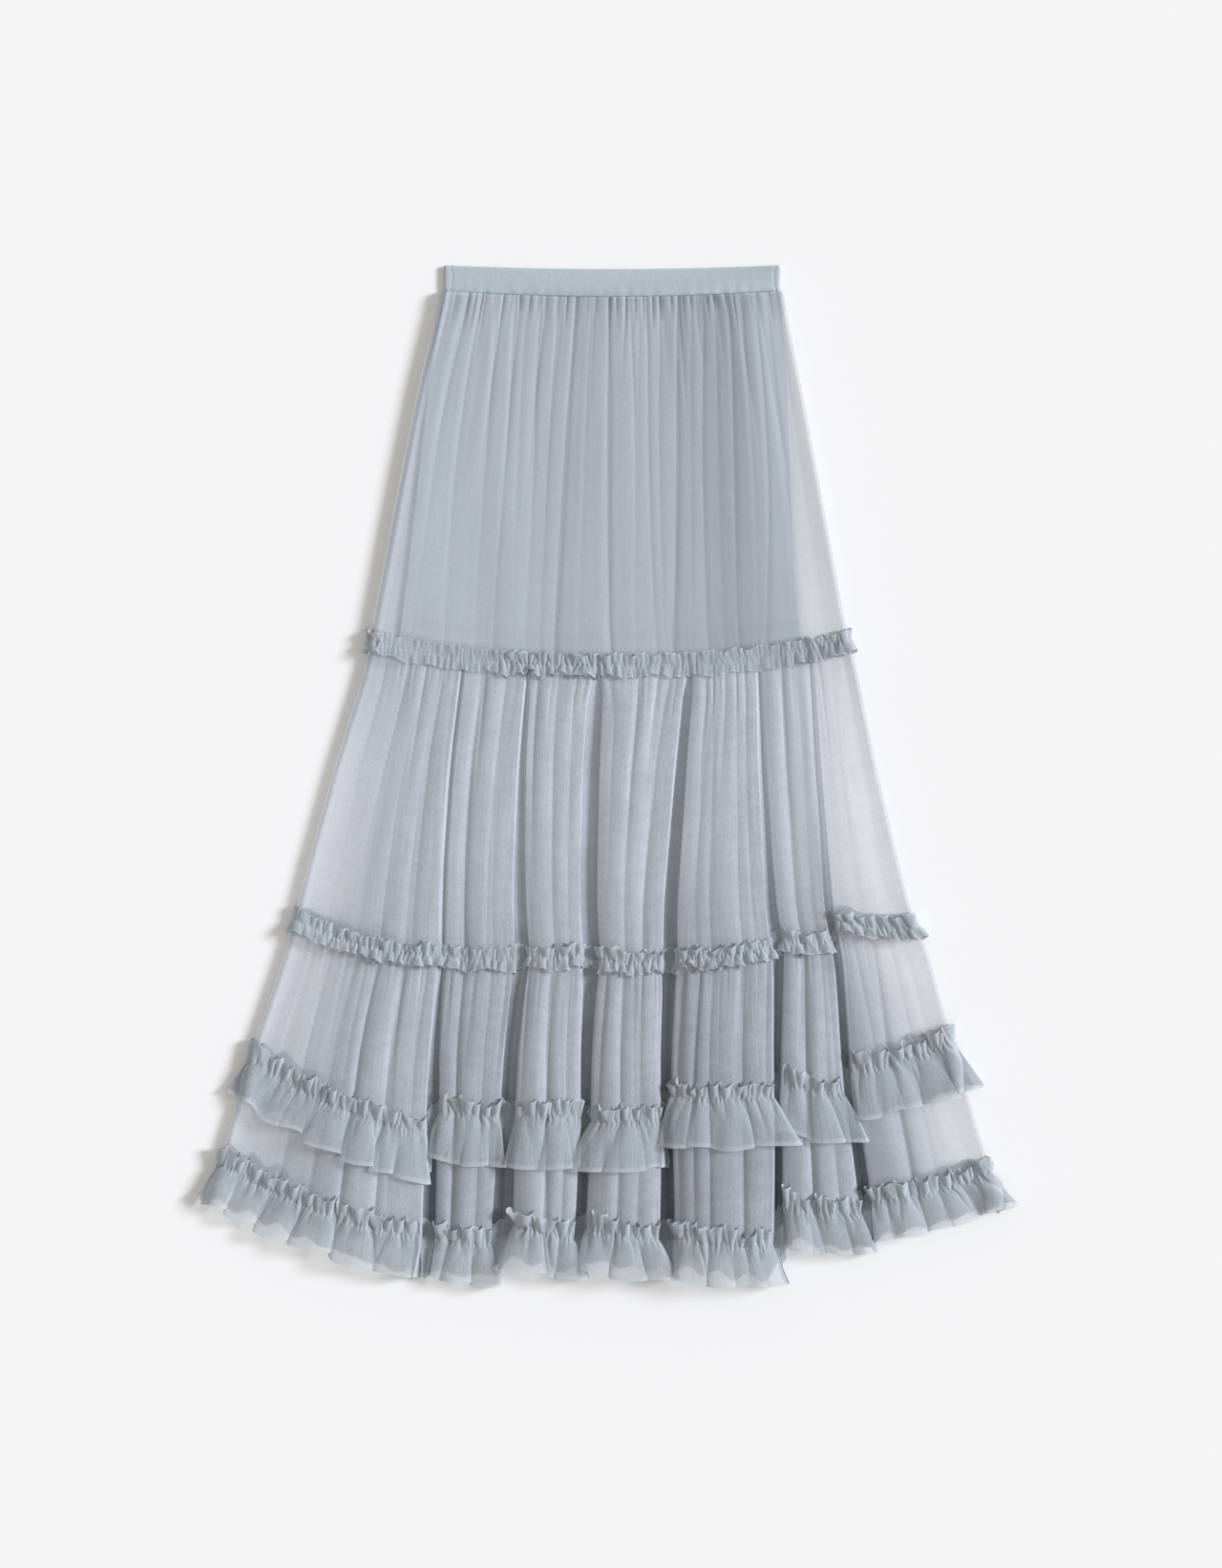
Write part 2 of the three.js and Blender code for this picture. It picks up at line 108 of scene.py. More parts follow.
# Creases on the folds' tops: fold, place along it and depth at the hem, and the width of all
TOP_CREASES = [
    (0, 0.18, 2.5), (0, 0.30, 5), (0, 0.45, 2.5), (0, 0.606, 5), (0, 0.777, 4.5),
    (1, 0.27, 7), (1, 0.70, 2.5),
    (2, 0.48, 3.5), (2, 0.78, 3),
    (3, 0.40, 3.5), (3, 0.70, 2.5),
    (4, 0.20, 2.5), (4, 0.36, 4), (4, 0.70, 4),
    (5, 0.40, 7), (5, 0.75, 2.5),
    (6, 0.35, 4.5), (6, 0.55, 3.5), (6, 0.75, 2),
]
TOP_CREASE_WIDTH = 5.5
# How far gathers wander sideways, the share of the folds' height reached at tier numbers, how far a
# fold overhangs its valley, the round of its edge, the share of its height there, and how far the
# points run on below the last seam
WANDER = 2.0
RISING_TIER = [1, 1.1, 1.5, 2, 3, 4]
RISING = [0.12, 0.32, 0.45, 0.56, 0.9, 1]
UNDERCUT = 7.0
NOSE = 4.0
SHOULDER = 0.55
BELOW_HEM = 100.0

# First seam and waist seam
FIRST_SEAM_SIDE = 354
FIRST_SEAM_DIP = 24
FIRST_SEAM_POWER = 2.4
BAND_HEIGHT = 24
BAND_TOP_DIP = 3.5
BAND_BOTTOM_DIP = 6
BAND_LEFT = -158
BAND_RIGHT = 160

# Heights above the surface, how much the lining lifts the upper tier, and the width and height of the
# soft rolls at the side folds
SURFACE_CLEARANCE = 0.1
BACK_STRIP_Z = 0.5
BACK_TULLE_Z = 1.3
LINING_BACK_Z = 2.3
LINING_FRONT_Z = 3.6
FRONT_Z = 3.4
LINING_LIFT = 1.6
SIDE_ROLL = 5.0
SIDE_ROLL_Z = 12.0

waist_low, waist_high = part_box("waistband_back")
ORIGIN_X = waist_low[0] - BAND_LEFT * MM
ORIGIN_Y = waist_high[1]


# Small number helpers

def smooth(x):
    x = np.clip(x, 0.0, 1.0)
    return x * x * (3 - 2 * x)


def mix(a, b, share):
    return a + (b - a) * share


def waves(x, y, seed, count=6):
    """Soft random field about -1 to 1, from a few sine waves."""
    rng = np.random.default_rng(seed)
    total = 0.0
    for _ in range(count):
        fx, fy = rng.uniform(0.5, 1.8), rng.uniform(-1.2, 1.2)
        total = total + np.sin(x * fx + y * fy + rng.uniform(0, 2 * math.pi))
    return total / math.sqrt(count)


def rounded_table(values, at, lowest, highest, window):
    """The table's line as many fine points, with its corners rounded over a window."""
    fine = np.linspace(lowest - window, highest + window, 801)
    step = fine[1] - fine[0]
    line = np.interp(fine, at, values)
    width = max(3, int(window / step) | 1)
    kernel = np.hanning(width + 2)[1:-1]
    kernel /= kernel.sum()
    padded = np.pad(line, width // 2, mode="edge")
    return fine, np.convolve(padded, kernel, mode="valid")


EDGE_LEFT_LINE = rounded_table(EDGE_LEFT, EDGE_DROP, 0, 1000, 60)
EDGE_RIGHT_LINE = rounded_table(EDGE_RIGHT, EDGE_DROP, 0, 1000, 60)


def side_folds(drop):
    return np.interp(drop, *EDGE_LEFT_LINE), np.interp(drop, *EDGE_RIGHT_LINE)


def arc_drop(seam, share):
    """Drop of the waist seam or the first tier seam."""
    across = np.clip(np.abs(2 * share - 1), 0, 1)
    if seam == 0:
        return BAND_HEIGHT + BAND_BOTTOM_DIP * (1 - across ** 2)
    return FIRST_SEAM_SIDE + FIRST_SEAM_DIP * (1 - across ** FIRST_SEAM_POWER)


# The folded front: columns run across it, over the folds' tops and down the valleys' walls

class Columns:
    """Points across the folded front, each with its fold and its place along that fold's top.

    wall is 1 on the top and falls to 0 in a valley, and side is -1 on the left wall and 1 on the right.
    """

    def __init__(self, per_fold, wall_steps):
        columns = []
        for i in range(FOLDS):
            if i > 0:
                columns += [(i, 0.0, step / wall_steps, -1) for step in range(wall_steps)]
            columns += [(i, step / per_fold[i], 1.0, 0) for step in range(per_fold[i] + 1)]
            if i < FOLDS - 1:
                columns += [(i, 1.0, step / wall_steps, 1) for step in range(wall_steps - 1, 0, -1)]
        fold, along, wall, side = zip(*columns)
        self.fold = np.array(fold)
        self.along = np.array(along)
        self.wall = np.array(wall)
        self.side = np.array(side)
        self.seams = np.array([self._seam_drop(seam) for seam in range(5)])
        self.seams = np.vstack([self.seams, self.seams[4] + BELOW_HEM])

    def shares(self, tier):
        """Shares of the width where each point's fold begins and ends."""
        tiers = [1, 2, 3, 4]
        tier = np.broadcast_to(tier, np.broadcast_shapes(np.shape(tier), self.fold.shape))
        start, end = np.zeros(tier.shape), np.ones(tier.shape)
        for i in range(FOLDS):
            here = self.fold == i
            if i > 0:
                start[..., here] = np.interp(tier[..., here], tiers, VALLEY_SHARE[i - 1])
            if i < FOLDS - 1:
                end[..., here] = np.interp(tier[..., here], tiers, VALLEY_SHARE[i])
        return start, end

    def beside(self, tier, table):
        """A valley table's values before and after each point's fold."""
        tier = np.broadcast_to(tier, np.broadcast_shapes(np.shape(tier), self.fold.shape))
        before, after = np.zeros(tier.shape), np.zeros(tier.shape)
        for i in range(FOLDS):
            here = self.fold == i
            if i > 0:
                before[..., here] = np.interp(tier[..., here], VALLEY_TIER, table[i - 1])
            if i < FOLDS - 1:
                after[..., here] = np.interp(tier[..., here], VALLEY_TIER, table[i])
        return before, after

    def _seam_drop(self, seam):
        start, end = self.shares(float(max(seam, 1)))
        share = mix(start, end, self.along)
        if seam < 2:
            return arc_drop(seam, share)
        left = np.array(SEAM_LEFT[seam], float)
        right = np.array(SEAM_RIGHT[seam], float)
        own = mix(left[self.fold], right[self.fold], self.along)
        own = own + BOW[self.fold] * 4 * self.along * (1 - self.along)
        before = np.concatenate([[left[0]], right[:-1]])[self.fold]
        after = np.concatenate([left[1:], [right[-1]]])[self.fold]
        other = np.where(self.side < 0, before, np.where(self.side > 0, after, own))
        return mix((own + other) / 2, own, smooth(self.wall / 0.7))

    def drop(self, tier):
        low = np.clip(np.floor(tier), 0, 4).astype(int)
        column = np.broadcast_to(np.arange(len(self.fold)), tier.shape)
        return mix(self.seams[low, column], self.seams[low + 1, column], tier - low)


def side_height(from_side, lining):
    """Height of the front at a distance from a side fold, which is a soft roll of cloth."""
    near = np.clip(from_side / SIDE_ROLL, 0, 1)
    roll = np.sqrt(1 - (1 - near) ** 2)
    level = mix(FRONT_Z + lining, SIDE_ROLL_Z, np.exp(-np.clip(from_side - SIDE_ROLL, 0, None) / 28))
    return BACK_TULLE_Z + (level - BACK_TULLE_Z) * roll


def top_creases(columns, width):
    """Depth in mm at the hem of the creases placed on the folds' tops."""
    depth = 0.0
    for fold, place, deep in TOP_CREASES:
        away = np.abs(columns.along - place) * width / TOP_CREASE_WIDTH
        depth = depth + deep * np.exp(-away ** 1.4) * (columns.fold == fold) * (columns.wall >= 1)
    return depth


def front_points(columns, tier, flare_left=0.0, flare_right=0.0):
    """Points of the folded front at tier numbers, rows down and columns across."""
    tier = np.broadcast_to(tier, (np.shape(tier)[0], len(columns.fold)))
    drop = columns.drop(tier)
    left, right = side_folds(drop)
    start, end = columns.shares(tier)
    gap_before, gap_after = columns.beside(tier, VALLEY_GAP)
    deep_before, deep_after = columns.beside(tier, VALLEY_DEPTH)
    deep = np.where(columns.side < 0, deep_before, deep_after)
    grown = np.interp(tier, RISING_TIER, RISING)
    rise = RISE[columns.fold] * grown
    under = UNDERCUT * grown * deep
    nose = NOSE * np.sqrt(grown)
    first, last = columns.fold == 0, columns.fold == FOLDS - 1
    x0 = mix(left, right, start) + gap_before / 2 - flare_left
    x1 = mix(left, right, end) - gap_after / 2 + flare_right
    wall = columns.wall
    out = under * np.sin(math.pi * np.clip((wall - 0.06) / 0.94, 0, 1)) ** 1.3
    out = out + nose * smooth((wall - 0.65) / 0.35)
    bottom = 1 - smooth(wall / 0.35)
    out_left = out - (gap_before / 2 - flare_left) * bottom
    out_right = out - (gap_after / 2 - flare_right) * bottom
    top = mix(x0 + np.where(first, 0, nose), x1 - np.where(last, 0, nose), columns.along)
    x = np.where(columns.side < 0, x0 + out_left, np.where(columns.side > 0, x1 - out_right, top))
    dome = 1 - np.abs(2 * columns.along - 1) ** 2.6
    on_wall = SHOULDER * (1 - deep * (1 - smooth((wall - 0.1) / 0.85)))
    height = rise * np.where(wall < 1, on_wall, SHOULDER + (1 - SHOULDER) * dome)
    height = height - 0.8 * top_creases(columns, x1 - x0) * grown
    from_side = np.minimum(np.where(first, x - left, 1e3), np.where(last, right - x, 1e3))
    slope = smooth(from_side / np.where(first, 130.0, 90.0))
    lining = LINING_LIFT * (1 - smooth((tier - 0.98) / 0.3))
    z = side_height(from_side, lining) + height * slope
    return np.stack([x, -drop, z], axis=-1)


# The plain front and back, by shares of the width

def plain_seam_line(seam):
    """Share and drop along a seam with its steps rounded, for the layers without deep folds."""
    if seam < 2:
        share = np.linspace(0, 1, 201)
        return share, arc_drop(seam, share)
    ends = np.concatenate([[0], VALLEY_SHARE[:, seam - 1], [1]])
    at, drops = [], []
    for i in range(FOLDS):
        a, b = SEAM_LEFT[seam][i], SEAM_RIGHT[seam][i]
        span = ends[i + 1] - ends[i]
        at += [ends[i] + 0.1 * span, ends[i] + 0.5 * span, ends[i] + 0.9 * span]
        drops += [a, (a + b) / 2 + BOW[i], b]
    at[0], at[-1] = 0, 1
    return rounded_table(drops, at, 0, 1, 0.03)


PLAIN_SEAMS = [plain_seam_line(seam) for seam in range(5)]


def plain_seams(share):
    """Drops of all seams and of a line below the hem."""
    seams = np.array([np.interp(share, *line) for line in PLAIN_SEAMS])
    return np.vstack([seams, seams[4] + BELOW_HEM])


def plain_drop(share, tier):
    seams = plain_seams(share)
    tier = np.broadcast_to(tier, (np.shape(tier)[0], len(share)))
    low = np.clip(np.floor(tier), 0, 4).astype(int)
    column = np.broadcast_to(np.arange(len(share)), tier.shape)
    return mix(seams[low, column], seams[low + 1, column], tier - low)


def plain_points(share, tier, height):
    drop = plain_drop(share, tier)
    left, right = side_folds(drop)
    x = mix(left, right, share)
    return np.stack([x, -drop, np.broadcast_to(height, x.shape)], axis=-1)


# Gathers

def outward(points):
    """Directions square to a grid of points, up where it lies flat."""
    across = np.gradient(points, axis=1)
    down = np.gradient(points, axis=0)
    normal = np.cross(down, across)
    length = np.linalg.norm(normal, axis=-1, keepdims=True)
    return normal / np.maximum(length, 1e-9)


class Gathers:
    """Uneven creases that run down from a gathered seam, each with its own place, depth and reach."""

    def __init__(self, length, low, high, reach, seed):
        rng = np.random.default_rng(seed)
        count = int(1.3 * length / math.sqrt(low * high)) + 20
        spans = np.exp(rng.uniform(math.log(low), math.log(high), count))
        self.places = np.cumsum(spans) - rng.uniform(low, high) - 20
        self.depth = rng.uniform(0.3, 1.0, count)
        self.reach = np.exp(rng.uniform(math.log(reach[0]), math.log(reach[1]), count))
        self.lean = rng.normal(0, 0.22, count) * math.sqrt(low * high)
        self.number = np.arange(count)

    def __call__(self, u, v, narrow, wide):
        """Swell between the creases and their depth, both about 0 to 1, at u mm across and v down."""
        start = u
        u = u - v * np.interp(u, self.places, self.lean)
        u = u + WANDER * waves(start / 30, v * 2.4, 77) * smooth(v * 3)
        phase = np.interp(u, self.places, self.number)
        nearest = np.rint(phase).astype(int)
        away = np.abs(u - self.places[nearest]) / mix(narrow, wide, v)
        crease = self._size(nearest, v) * np.exp(-away ** 1.4)
        low = np.floor(phase).astype(int)
        high = np.minimum(low + 1, len(self.places) - 1)
        size = mix(self._size(low, v), self._size(high, v), smooth(phase - low))
        return np.abs(np.sin(math.pi * phase)) ** 0.8 * size, crease

    def _size(self, number, v):
        """Depth of the numbered creases, which fade out at their reach."""
        return self.depth[number] * (1 - smooth((v / self.reach[number] - 0.25) / 0.75))


class Ruffles:
    """Waves of uneven width along a strip."""

    def __init__(self, length, low, high, seed):
        rng = np.random.default_rng(seed)
        count = int(1.3 * length / math.sqrt(low * high)) + 20
        self.spans = np.exp(rng.uniform(math.log(low), math.log(high), count))
        self.ends = np.cumsum(self.spans) - 20
        self.size = rng.uniform(0.6, 1.2, count) * (self.spans / self.spans.mean()) ** 0.6
        self.sag = rng.uniform(-0.25, 1.0, count)
        self.number = np.arange(count)

    def __call__(self, u):
        """Turn in radians, and the wave's width, size and sag, at u mm across."""
        phase = np.interp(u, self.ends, self.number)
        kinds = (self.spans, self.size, self.sag)
        span, size, sag = (np.interp(phase - 0.5, self.number, kind) for kind in kinds)
        return 2 * math.pi * phase, span, size, sag


def travelled(points, row):
    """Distance across one row of a grid, in mm."""
    steps = np.linalg.norm(np.diff(points[row], axis=0), axis=-1)
    return np.concatenate([[0], np.cumsum(steps)])


# Meshes

def make_mesh(name, points, faces, paint, cloth, material):
    mesh = bpy.data.meshes.new(name)
    points = points.reshape(-1, 3)
    points[:, 2] = np.maximum(points[:, 2], SURFACE_CLEARANCE)
    world = points * MM + np.array([ORIGIN_X, ORIGIN_Y, 0.0])
    mesh.from_pydata(world.tolist(), [], faces.tolist())
    paint_layer = mesh.attributes.new("paint", "FLOAT_COLOR", "POINT")
    full = np.concatenate([paint.reshape(-1, 3), np.ones((len(world), 1))], axis=1)
    paint_layer.data.foreach_set("color", full.astype(np.float32).ravel())
    cloth_layer = mesh.attributes.new("cloth", "FLOAT_VECTOR", "POINT")
    flat = np.concatenate([cloth.reshape(-1, 2) * MM, np.zeros((len(world), 1))], axis=1)
    cloth_layer.data.foreach_set("vector", flat.astype(np.float32).ravel())
    mesh.polygons.foreach_set("use_smooth", [True] * len(mesh.polygons))
    mesh.materials.append(material)
    mesh.update()
    obj = bpy.data.objects.new(name, mesh)
    bpy.context.scene.collection.objects.link(obj)
    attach(obj, "root")
    return obj


def grid_faces(rows, columns):
    """Quads of a grid whose last column joins its first."""
    row, column = np.meshgrid(np.arange(rows - 1), np.arange(columns), indexing="ij")
    a = row * columns + column
    b = row * columns + (column + 1) % columns
    return np.stack([a, a + columns, b + columns, b], axis=-1).reshape(-1, 4)


def cloth_grid(points, row):
    """Flat coordinates of a grid: distance across its row and down each column."""
    across = np.broadcast_to(travelled(points, row), points.shape[:2])
    steps = np.linalg.norm(np.diff(points, axis=0), axis=-1)
    down = np.concatenate([np.zeros((1, points.shape[1])), np.cumsum(steps, axis=0)])
    return np.stack([across, down], axis=-1)


def paint_grid(cover, shade, edge=0.0):
    """What the materials read: how much the cloth covers, how deep its colour is, which holds painted
    shade in creases and valleys, and its edges, which carry painted highlight.
    """
    cover, shade, edge = np.broadcast_arrays(cover, shade, edge)
    return np.stack([np.clip(cover, 0, 1), np.clip(shade, 0, 1), np.clip(edge, 0, 1)], axis=-1)


def tube(name, front, back, material):
    """One closed tube from a front grid and a back grid, which runs on from the front's right side."""
    points = np.concatenate([front[0], back[0][:, ::-1]], axis=1)
    paint = np.concatenate([front[1], back[1][:, ::-1]], axis=1)
    cloth = cloth_grid(points, points.shape[0] // 2)
    faces = grid_faces(*points.shape[:2])
    return make_mesh(name, points, faces, paint, cloth, material)


# Materials

# The deep colours are reached where painted shade falls in creases, valleys and stitch lines, and where
# net is gathered dense
TULLE_LIGHT = (0.610, 0.655, 0.725)
TULLE_DEEP = (0.130, 0.150, 0.185)
FRILL_LIGHT = (0.520, 0.570, 0.628)
FRILL_DEEP = (0.110, 0.135, 0.160)
# Light colour of the nets' hems: partly their doubled hem, partly painted highlight
FRILL_HEM_AND_HIGHLIGHT = (0.66, 0.71, 0.755)
LINING_LIGHT = (0.560, 0.610, 0.680)
LINING_DEEP = (0.150, 0.170, 0.200)
BAND_LIGHT = (0.470, 0.538, 0.580)
BAND_DEEP = (0.270, 0.325, 0.350)
# Light colour painted beside the band's side seams as a highlight
BAND_SEAM_HIGHLIGHT = (0.62, 0.68, 0.71)


class Graph:
    """Short calls for a material's nodes."""

    def __init__(self, name):
        self.material = bpy.data.materials.new(name)
        self.material.use_nodes = True
        self.tree = self.material.node_tree
        self.shader = next(n for n in self.tree.nodes if n.type == "BSDF_PRINCIPLED")

    def add(self, kind, **settings):
        node = self.tree.nodes.new(kind)
        for key, value in settings.items():
            setattr(node, key, value)
        return node

    def link(self, a, b):
        self.tree.links.new(a, b)

    def put(self, socket, value):
        if isinstance(value, bpy.types.NodeSocket):
            self.link(value, socket)
        else:
            socket.default_value = value

    def math(self, operation, a, b=0.0, clamp=False):
        node = self.add("ShaderNodeMath", operation=operation, use_clamp=clamp)
        self.put(node.inputs[0], a)
        self.put(node.inputs[1], b)
        return node.outputs[0]

    def colour(self, factor, a, b):
        node = self.add("ShaderNodeMix", data_type="RGBA")
        self.put(node.inputs[0], factor)
        for socket, value in ((node.inputs[6], a), (node.inputs[7], b)):
            self.put(socket, value if isinstance(value, bpy.types.NodeSocket) else (*value, 1.0))
        return node.outputs[2]

    def cloth(self, across, down):
        """The flat cloth coordinates in metres, each multiplied by its own number."""
        source = self.add("ShaderNodeAttribute", attribute_name="cloth")
        scale = self.add("ShaderNodeVectorMath", operation="MULTIPLY")
        self.link(source.outputs["Vector"], scale.inputs[0])
        scale.inputs[1].default_value = (across, down, 1.0)
        return scale.outputs[0]

    def noise(self, vector, detail=2.0):
        node = self.add("ShaderNodeTexNoise")
        self.link(vector, node.inputs["Vector"])
        node.inputs["Scale"].default_value = 1.0
        node.inputs["Detail"].default_value = detail
        return node.outputs["Fac"]

    def paint(self):
        source = self.add("ShaderNodeAttribute", attribute_name="paint")
        split = self.add("ShaderNodeSeparateColor")
        self.link(source.outputs["Color"], split.inputs[0])
        return split.outputs

    def bump(self, height, distance, strength):
        node = self.add("ShaderNodeBump")
        node.inputs["Strength"].default_value = strength
        node.inputs["Distance"].default_value = distance
        self.link(height, node.inputs["Height"])
        self.link(node.outputs[0], self.shader.inputs["Normal"])

    def finish(self, roughness, sheen, specular):
        self.shader.inputs["Roughness"].default_value = roughness
        self.shader.inputs["Sheen Weight"].default_value = sheen
        self.shader.inputs["Sheen Roughness"].default_value = 0.5
        self.shader.inputs["Specular IOR Level"].default_value = specular
        return self.material


def net_material(name, light, deep, streaks, holes, waviness):
    """Soft net: streaks of thread, a fine mesh, and the wavy bands of net seen through net."""
    g = Graph(name)
    cover, shade, edge = g.paint()[:3]
    threads = g.math("SUBTRACT", g.noise(g.cloth(700, 14)), 0.5)
    soft = g.math("SUBTRACT", g.noise(g.cloth(110, 9)), 0.5)
    cloud = g.math("SUBTRACT", g.noise(g.cloth(26, 18)), 0.5)
    bands = g.add("ShaderNodeTexWave", wave_type="BANDS", bands_direction="Y")
    g.link(g.cloth(14, 14), bands.inputs["Vector"])
    bands.inputs["Scale"].default_value = 1.0
    bands.inputs["Distortion"].default_value = 9.0
    bands.inputs["Detail"].default_value = 2.0
    bands.inputs["Detail Scale"].default_value = 2.2
    wavy = g.math("SUBTRACT", bands.outputs["Fac"], 0.5)
    mesh = g.add("ShaderNodeTexVoronoi", feature="DISTANCE_TO_EDGE")
    g.link(g.cloth(900, 900), mesh.inputs["Vector"])
    mesh.inputs["Scale"].default_value = 1.0
    open_net = g.math("GREATER_THAN", mesh.outputs["Distance"], 0.15)
    grain = g.math("SUBTRACT", g.noise(g.cloth(620, 260), 3.0), 0.5)
    streak = g.math("MULTIPLY", g.math("ADD", threads, grain), streaks)
    streak = g.math("ADD", streak, g.math("MULTIPLY", soft, streaks * 0.9))
    streak = g.math("ADD", streak, g.math("MULTIPLY", cloud, streaks * 0.6))
    streak = g.math("ADD", streak, g.math("MULTIPLY", wavy, waviness))
    thin = g.math("MULTIPLY", g.math("SUBTRACT", open_net, 0.6), holes)
    alpha = g.math("SUBTRACT", g.math("ADD", cover, g.math("MULTIPLY", streak, 0.5)), thin, clamp=True)
    g.link(alpha, g.shader.inputs["Alpha"])
    # Colour deepens with the shade paint, painted shade in creases and valleys and denser net, and with
    # thread streaks
    dark = g.math("SUBTRACT", shade, g.math("MULTIPLY", streak, 0.45), clamp=True)
    base = g.colour(dark, light, deep)
    # Lighter on hems by the third paint channel: partly a doubled hem, partly painted highlight
    base = g.colour(g.math("MULTIPLY", edge, 0.45), base, FRILL_HEM_AND_HIGHLIGHT)
    g.link(base, g.shader.inputs["Base Color"])
    g.bump(g.math("ADD", threads, g.math("MULTIPLY", open_net, -0.3)), 0.0005, 0.35)
    return g.finish(0.85, 0.12, 0.12)


def lining_material():
    """Opaque fine jersey."""
    g = Graph("lining_jersey")
    shade = g.paint()[1]
    threads = g.noise(g.cloth(900, 260))
    cloud = g.noise(g.cloth(14, 9))
    tint = g.math("ADD", shade, g.math("MULTIPLY", g.math("SUBTRACT", cloud, 0.5), 0.25), clamp=True)
    tint = g.math("ADD", tint, g.math("MULTIPLY", g.math("SUBTRACT", threads, 0.5), 0.12), clamp=True)
    g.link(g.colour(tint, LINING_LIGHT, LINING_DEEP), g.shader.inputs["Base Color"])
    g.bump(threads, 0.0004, 0.4)
    return g.finish(0.8, 0.15, 0.2)


def band_material():
    """Cloth over an elastic tape: fine upright ribs and a little mottling."""
    g = Graph("band_elastic")
    shade, edge = g.paint()[1:3]
    ribs = g.noise(g.cloth(1300, 120))
    mottle = g.noise(g.cloth(160, 260))
    tint = g.math("ADD", shade, g.math("MULTIPLY", g.math("SUBTRACT", ribs, 0.5), 0.30), clamp=True)
    tint = g.math("ADD", tint, g.math("MULTIPLY", g.math("SUBTRACT", mottle, 0.5), 0.30), clamp=True)
    base = g.colour(tint, BAND_LIGHT, BAND_DEEP)
    # Lighter beside the side seams: painted highlight
    base = g.colour(g.math("MULTIPLY", edge, 0.7), base, BAND_SEAM_HIGHLIGHT)
    g.link(base, g.shader.inputs["Base Color"])
    g.bump(g.math("ADD", ribs, mottle), 0.0005, 0.5)
    return g.finish(0.8, 0.25, 0.2)


UPPER_TULLE = net_material("upper_tulle_net", TULLE_LIGHT, TULLE_DEEP, 0.20, 0.06, 0.01)
TULLE = net_material("tulle_net", TULLE_LIGHT, TULLE_DEEP, 0.40, 0.08, 0.06)
FRILL = net_material("frill_net", FRILL_LIGHT, FRILL_DEEP, 0.46, 0.06, 0.03)
LINING = lining_material()
BAND = band_material()


# How much of the light the cloth stops: sheer at the sides, denser where it is gathered

def net_cover(share, drop):
    """How much one layer of the tulle covers: sheer at the sides, most so at the right and low down."""
    low = smooth((drop - 250) / 250)
    middle = np.interp(drop, [0, 250, 450, 560, 650], [0.62, 0.62, 0.63, 0.63, 0.66])
    left = mix(mix(0.50, 0.20, low), middle, smooth(share / mix(0.12, 0.24, low)))
    right_reach = np.interp(drop, [0, 250, 500, 620, 690], [0.22, 0.22, 0.31, 0.28, 0.18])
    right = mix(mix(0.17, 0.08, low), middle, smooth((1 - share) / right_reach))
    return np.minimum(left, right)


# How deep the colour gets where cloth is gathered close: in the upper tier at places across it with a
# reach to both sides, and in each large fold
UPPER_DENSE = [(0.42, 0.09, 0.05), (0.79, 0.14, 0.16)]
FOLD_DENSE = np.array([0.11, 0.29, 0.16, 0.24, 0.36, 0.20, 0.30])


def upper_tone(share):
    return sum(deep * np.exp(-((share - place) / reach) ** 2) for place, reach, deep in UPPER_DENSE)


def fold_tone(columns, share, tier):
    down = np.interp(tier, [1, 1.6, 2, 3, 4], [0, 0.04, 0.7, 1, 1])
    return FOLD_DENSE[columns.fold] * down * smooth(np.minimum(share, 1 - share) / 0.2)


def seen_share(points):
    left, right = side_folds(-points[..., 1])
    return np.clip((points[..., 0] - left) / (right - left), 0, 1)


def roll_cover(points):
    """More cover where the cloth turns under at a side fold."""
    left, right = side_folds(-points[..., 1])
    from_left = np.clip(points[..., 0] - left, 0, None)
    from_right = np.clip(right - points[..., 0], 0, None)
    edge = 0.24 * np.exp(-(from_left / 1.6) ** 2) + 0.08 * np.exp(-(from_left / 6) ** 2)
    return edge + 0.08 * np.exp(-(from_right / 1.2) ** 2)


def slope_cover(points, cover):
    """Cloth that stands on edge covers more, as several layers do."""
    up = np.abs(outward(points)[..., 2])
    layers = 1 / np.clip(up, 0.35, 1)
    return 1 - (1 - cover) ** layers


# Waistband

BAND_WALL = 2.7
BAND_SECTION = 20
BAND_SEAM_LEFT = -150.5
BAND_SEAM_RIGHT = 155.0


def band_path():
    """Middle line of the band round the flattened waist: x, z and the way out of it."""
    radius = BAND_WALL / 2 + 0.2
    left, right = BAND_LEFT + radius + BAND_WALL / 2, BAND_RIGHT - radius - BAND_WALL / 2
    middle = BAND_WALL + 0.2
    beside = np.linspace(-2, 2, 13)
    seams = np.concatenate([BAND_SEAM_LEFT + beside, BAND_SEAM_RIGHT + beside])
    top = np.unique(np.concatenate([np.linspace(left, right, 260), seams]))
    turn = np.linspace(0, math.pi, 12)[1:-1]
    low = np.linspace(right, left, 90)
    x = np.concatenate([top, right + radius * np.sin(turn), low, left - radius * np.sin(turn)])
    z = np.concatenate([
        np.full(top.shape, middle + radius), middle + radius * np.cos(turn),
        np.full(low.shape, middle - radius), middle - radius * np.cos(turn),
    ])
    out_x = np.concatenate([0 * top, np.sin(turn), 0 * low, -np.sin(turn)])
    out_z = np.concatenate([1 + 0 * top, np.cos(turn), -1 + 0 * low, -np.cos(turn)])
    return x, z, out_x, out_z


